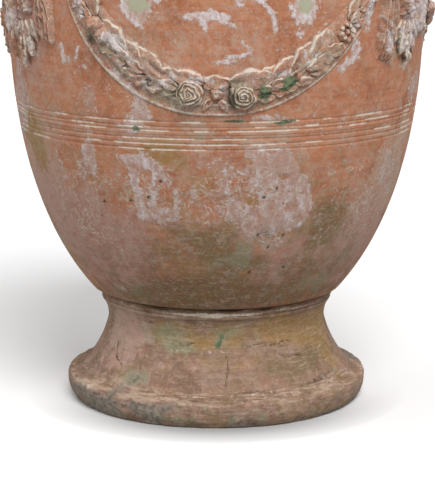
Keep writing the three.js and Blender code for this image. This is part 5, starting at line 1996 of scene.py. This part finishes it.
# %% [markdown]
# ## The floor
# A plain white floor. The camera sees white paper, while the light that it throws back at the vase stays
# modest. The contact shadow of the plinth is deeper in front. A sun from behind would do that but spoil
# the light on the vase, so the extra shade in front is painted into the floor's colour: two Ambient
# Occlusion nodes, one leaning to the front and one to the back, tell how much more is open on the one
# side than on the other.

# %% Floor
FLOOR_HALF = 30
FLOOR_SEEN = (0.97, 0.97, 0.97, 1)
FLOOR_BOUNCE = (0.32, 0.32, 0.32, 1)
CONTACT_REACH = 0.06
CONTACT_DARK = 0.95
CONTACT_LEAN = math.radians(78)
BLACK = (0, 0, 0, 1)
scene = bpy.context.scene
floor_mesh = bpy.data.meshes.new("floor")
corners = [(-FLOOR_HALF, -FLOOR_HALF, 0), (FLOOR_HALF, -FLOOR_HALF, 0)]
corners += [(FLOOR_HALF, FLOOR_HALF, 0), (-FLOOR_HALF, FLOOR_HALF, 0)]
floor_mesh.from_pydata(corners, [], [(0, 1, 2, 3)])
floor = bpy.data.objects.new("studio_floor", floor_mesh)
scene.collection.objects.link(floor)

floor_white = bpy.data.materials.new("studio white")
paper = empty_finish(floor_white)


def openness(lean):
    """How open the floor is in a direction that leans from upright to the back."""
    sockets = {"Distance": CONTACT_REACH, "Normal": paper.vector(0, math.sin(lean), math.cos(lean))}
    return paper.add("ShaderNodeAmbientOcclusion", sockets).outputs["AO"]


rays = paper.add("ShaderNodeLightPath").outputs
mirrored = paper.math("MAXIMUM", rays["Is Glossy Ray"], rays["Is Transmission Ray"])
seen = paper.math("MAXIMUM", rays["Is Camera Ray"], mirrored)
# Painted shadow: the floor's colour darkens in front of the plinth.
front_less_back = paper.math("SUBTRACT", openness(-CONTACT_LEAN), openness(CONTACT_LEAN))
hidden = paper.math("MAXIMUM", front_less_back, 0)
open_share = paper.math("SUBTRACT", 1, paper.math("MULTIPLY", hidden, CONTACT_DARK))
white = paper.mix(open_share, BLACK, FLOOR_SEEN)
diffuse = paper.add("ShaderNodeBsdfDiffuse", {"Color": paper.mix(seen, FLOOR_BOUNCE, white)})
paper.add("ShaderNodeOutputMaterial", {"Surface": diffuse.outputs[0]})
floor_mesh.materials.append(floor_white)
print("floor of", 2 * FLOOR_HALF, "m")

# %% [markdown]
# ## Light
# Soft studio light: an even sky that is brighter on both sides, like two large windows, and one broad
# sun from the front, high up and a little to the right. Area lamps would do as well, but sky and sun
# light the vase alike at every height.

# %% Light
SKY_STRENGTH = 0.46
LEFT_STRENGTH = 0.95
RIGHT_STRENGTH = 0.62
world = bpy.data.worlds.new("studio sky")
air = empty_finish(world)
sideways = air.parts(air.add("ShaderNodeTexCoord").outputs["Generated"])[0]
from_right = air.math("MULTIPLY", air.math("MAXIMUM", sideways, 0), RIGHT_STRENGTH)
from_left = air.math("MULTIPLY", air.math("MINIMUM", sideways, 0), -LEFT_STRENGTH)
strength = air.math("ADD", air.math("ADD", from_right, from_left), SKY_STRENGTH)
sky = air.add("ShaderNodeBackground", {"Strength": strength})
air.add("ShaderNodeOutputWorld", {"Surface": sky.outputs[0]})
scene.world = world

SUN_STRENGTH = 2.25
SUN_SOFTNESS = math.radians(32)
SUN_HEIGHT = math.radians(50)
SUN_SIDE = math.radians(16)
sun = bpy.data.lights.new("soft sun", "SUN")
sun.energy = SUN_STRENGTH
sun.angle = SUN_SOFTNESS
lamp = bpy.data.objects.new("soft sun", sun)
lamp.rotation_euler = (math.pi / 2 - SUN_HEIGHT, 0, SUN_SIDE)
scene.collection.objects.link(lamp)
print("sun of", SUN_STRENGTH, "over a sky of", SKY_STRENGTH)

# %% [markdown]
# ## Camera
# The camera stands in front of the vase, at about the height of its rim, and looks a little down through
# a long lens. It could be placed by hand in the viewport. Here distance, tilt and lens are numbers,
# fitted until belt, joint and plinth fell where the picture has them.

# %% Camera
IMAGE_HEIGHT = 500
FOCAL_PIXELS = 2060
SENSOR = 24
PITCH = math.radians(11.65)
DISTANCE = 2.7192
AIM = (0.0016, 0, 0.1891)
camera = bpy.data.cameras.new("studio camera")
camera.sensor_fit = "VERTICAL"
camera.sensor_height = SENSOR
camera.lens = FOCAL_PIXELS / IMAGE_HEIGHT * SENSOR
stand = bpy.data.objects.new("studio camera", camera)
stand.location = (AIM[0], AIM[1] - DISTANCE * math.cos(PITCH), AIM[2] + DISTANCE * math.sin(PITCH))
stand.rotation_euler = (math.pi / 2 - PITCH, 0, 0)
scene.collection.objects.link(stand)
scene.camera = stand
scene.view_settings.view_transform = "Standard"
print("camera at", tuple(round(v, 3) for v in stand.location))
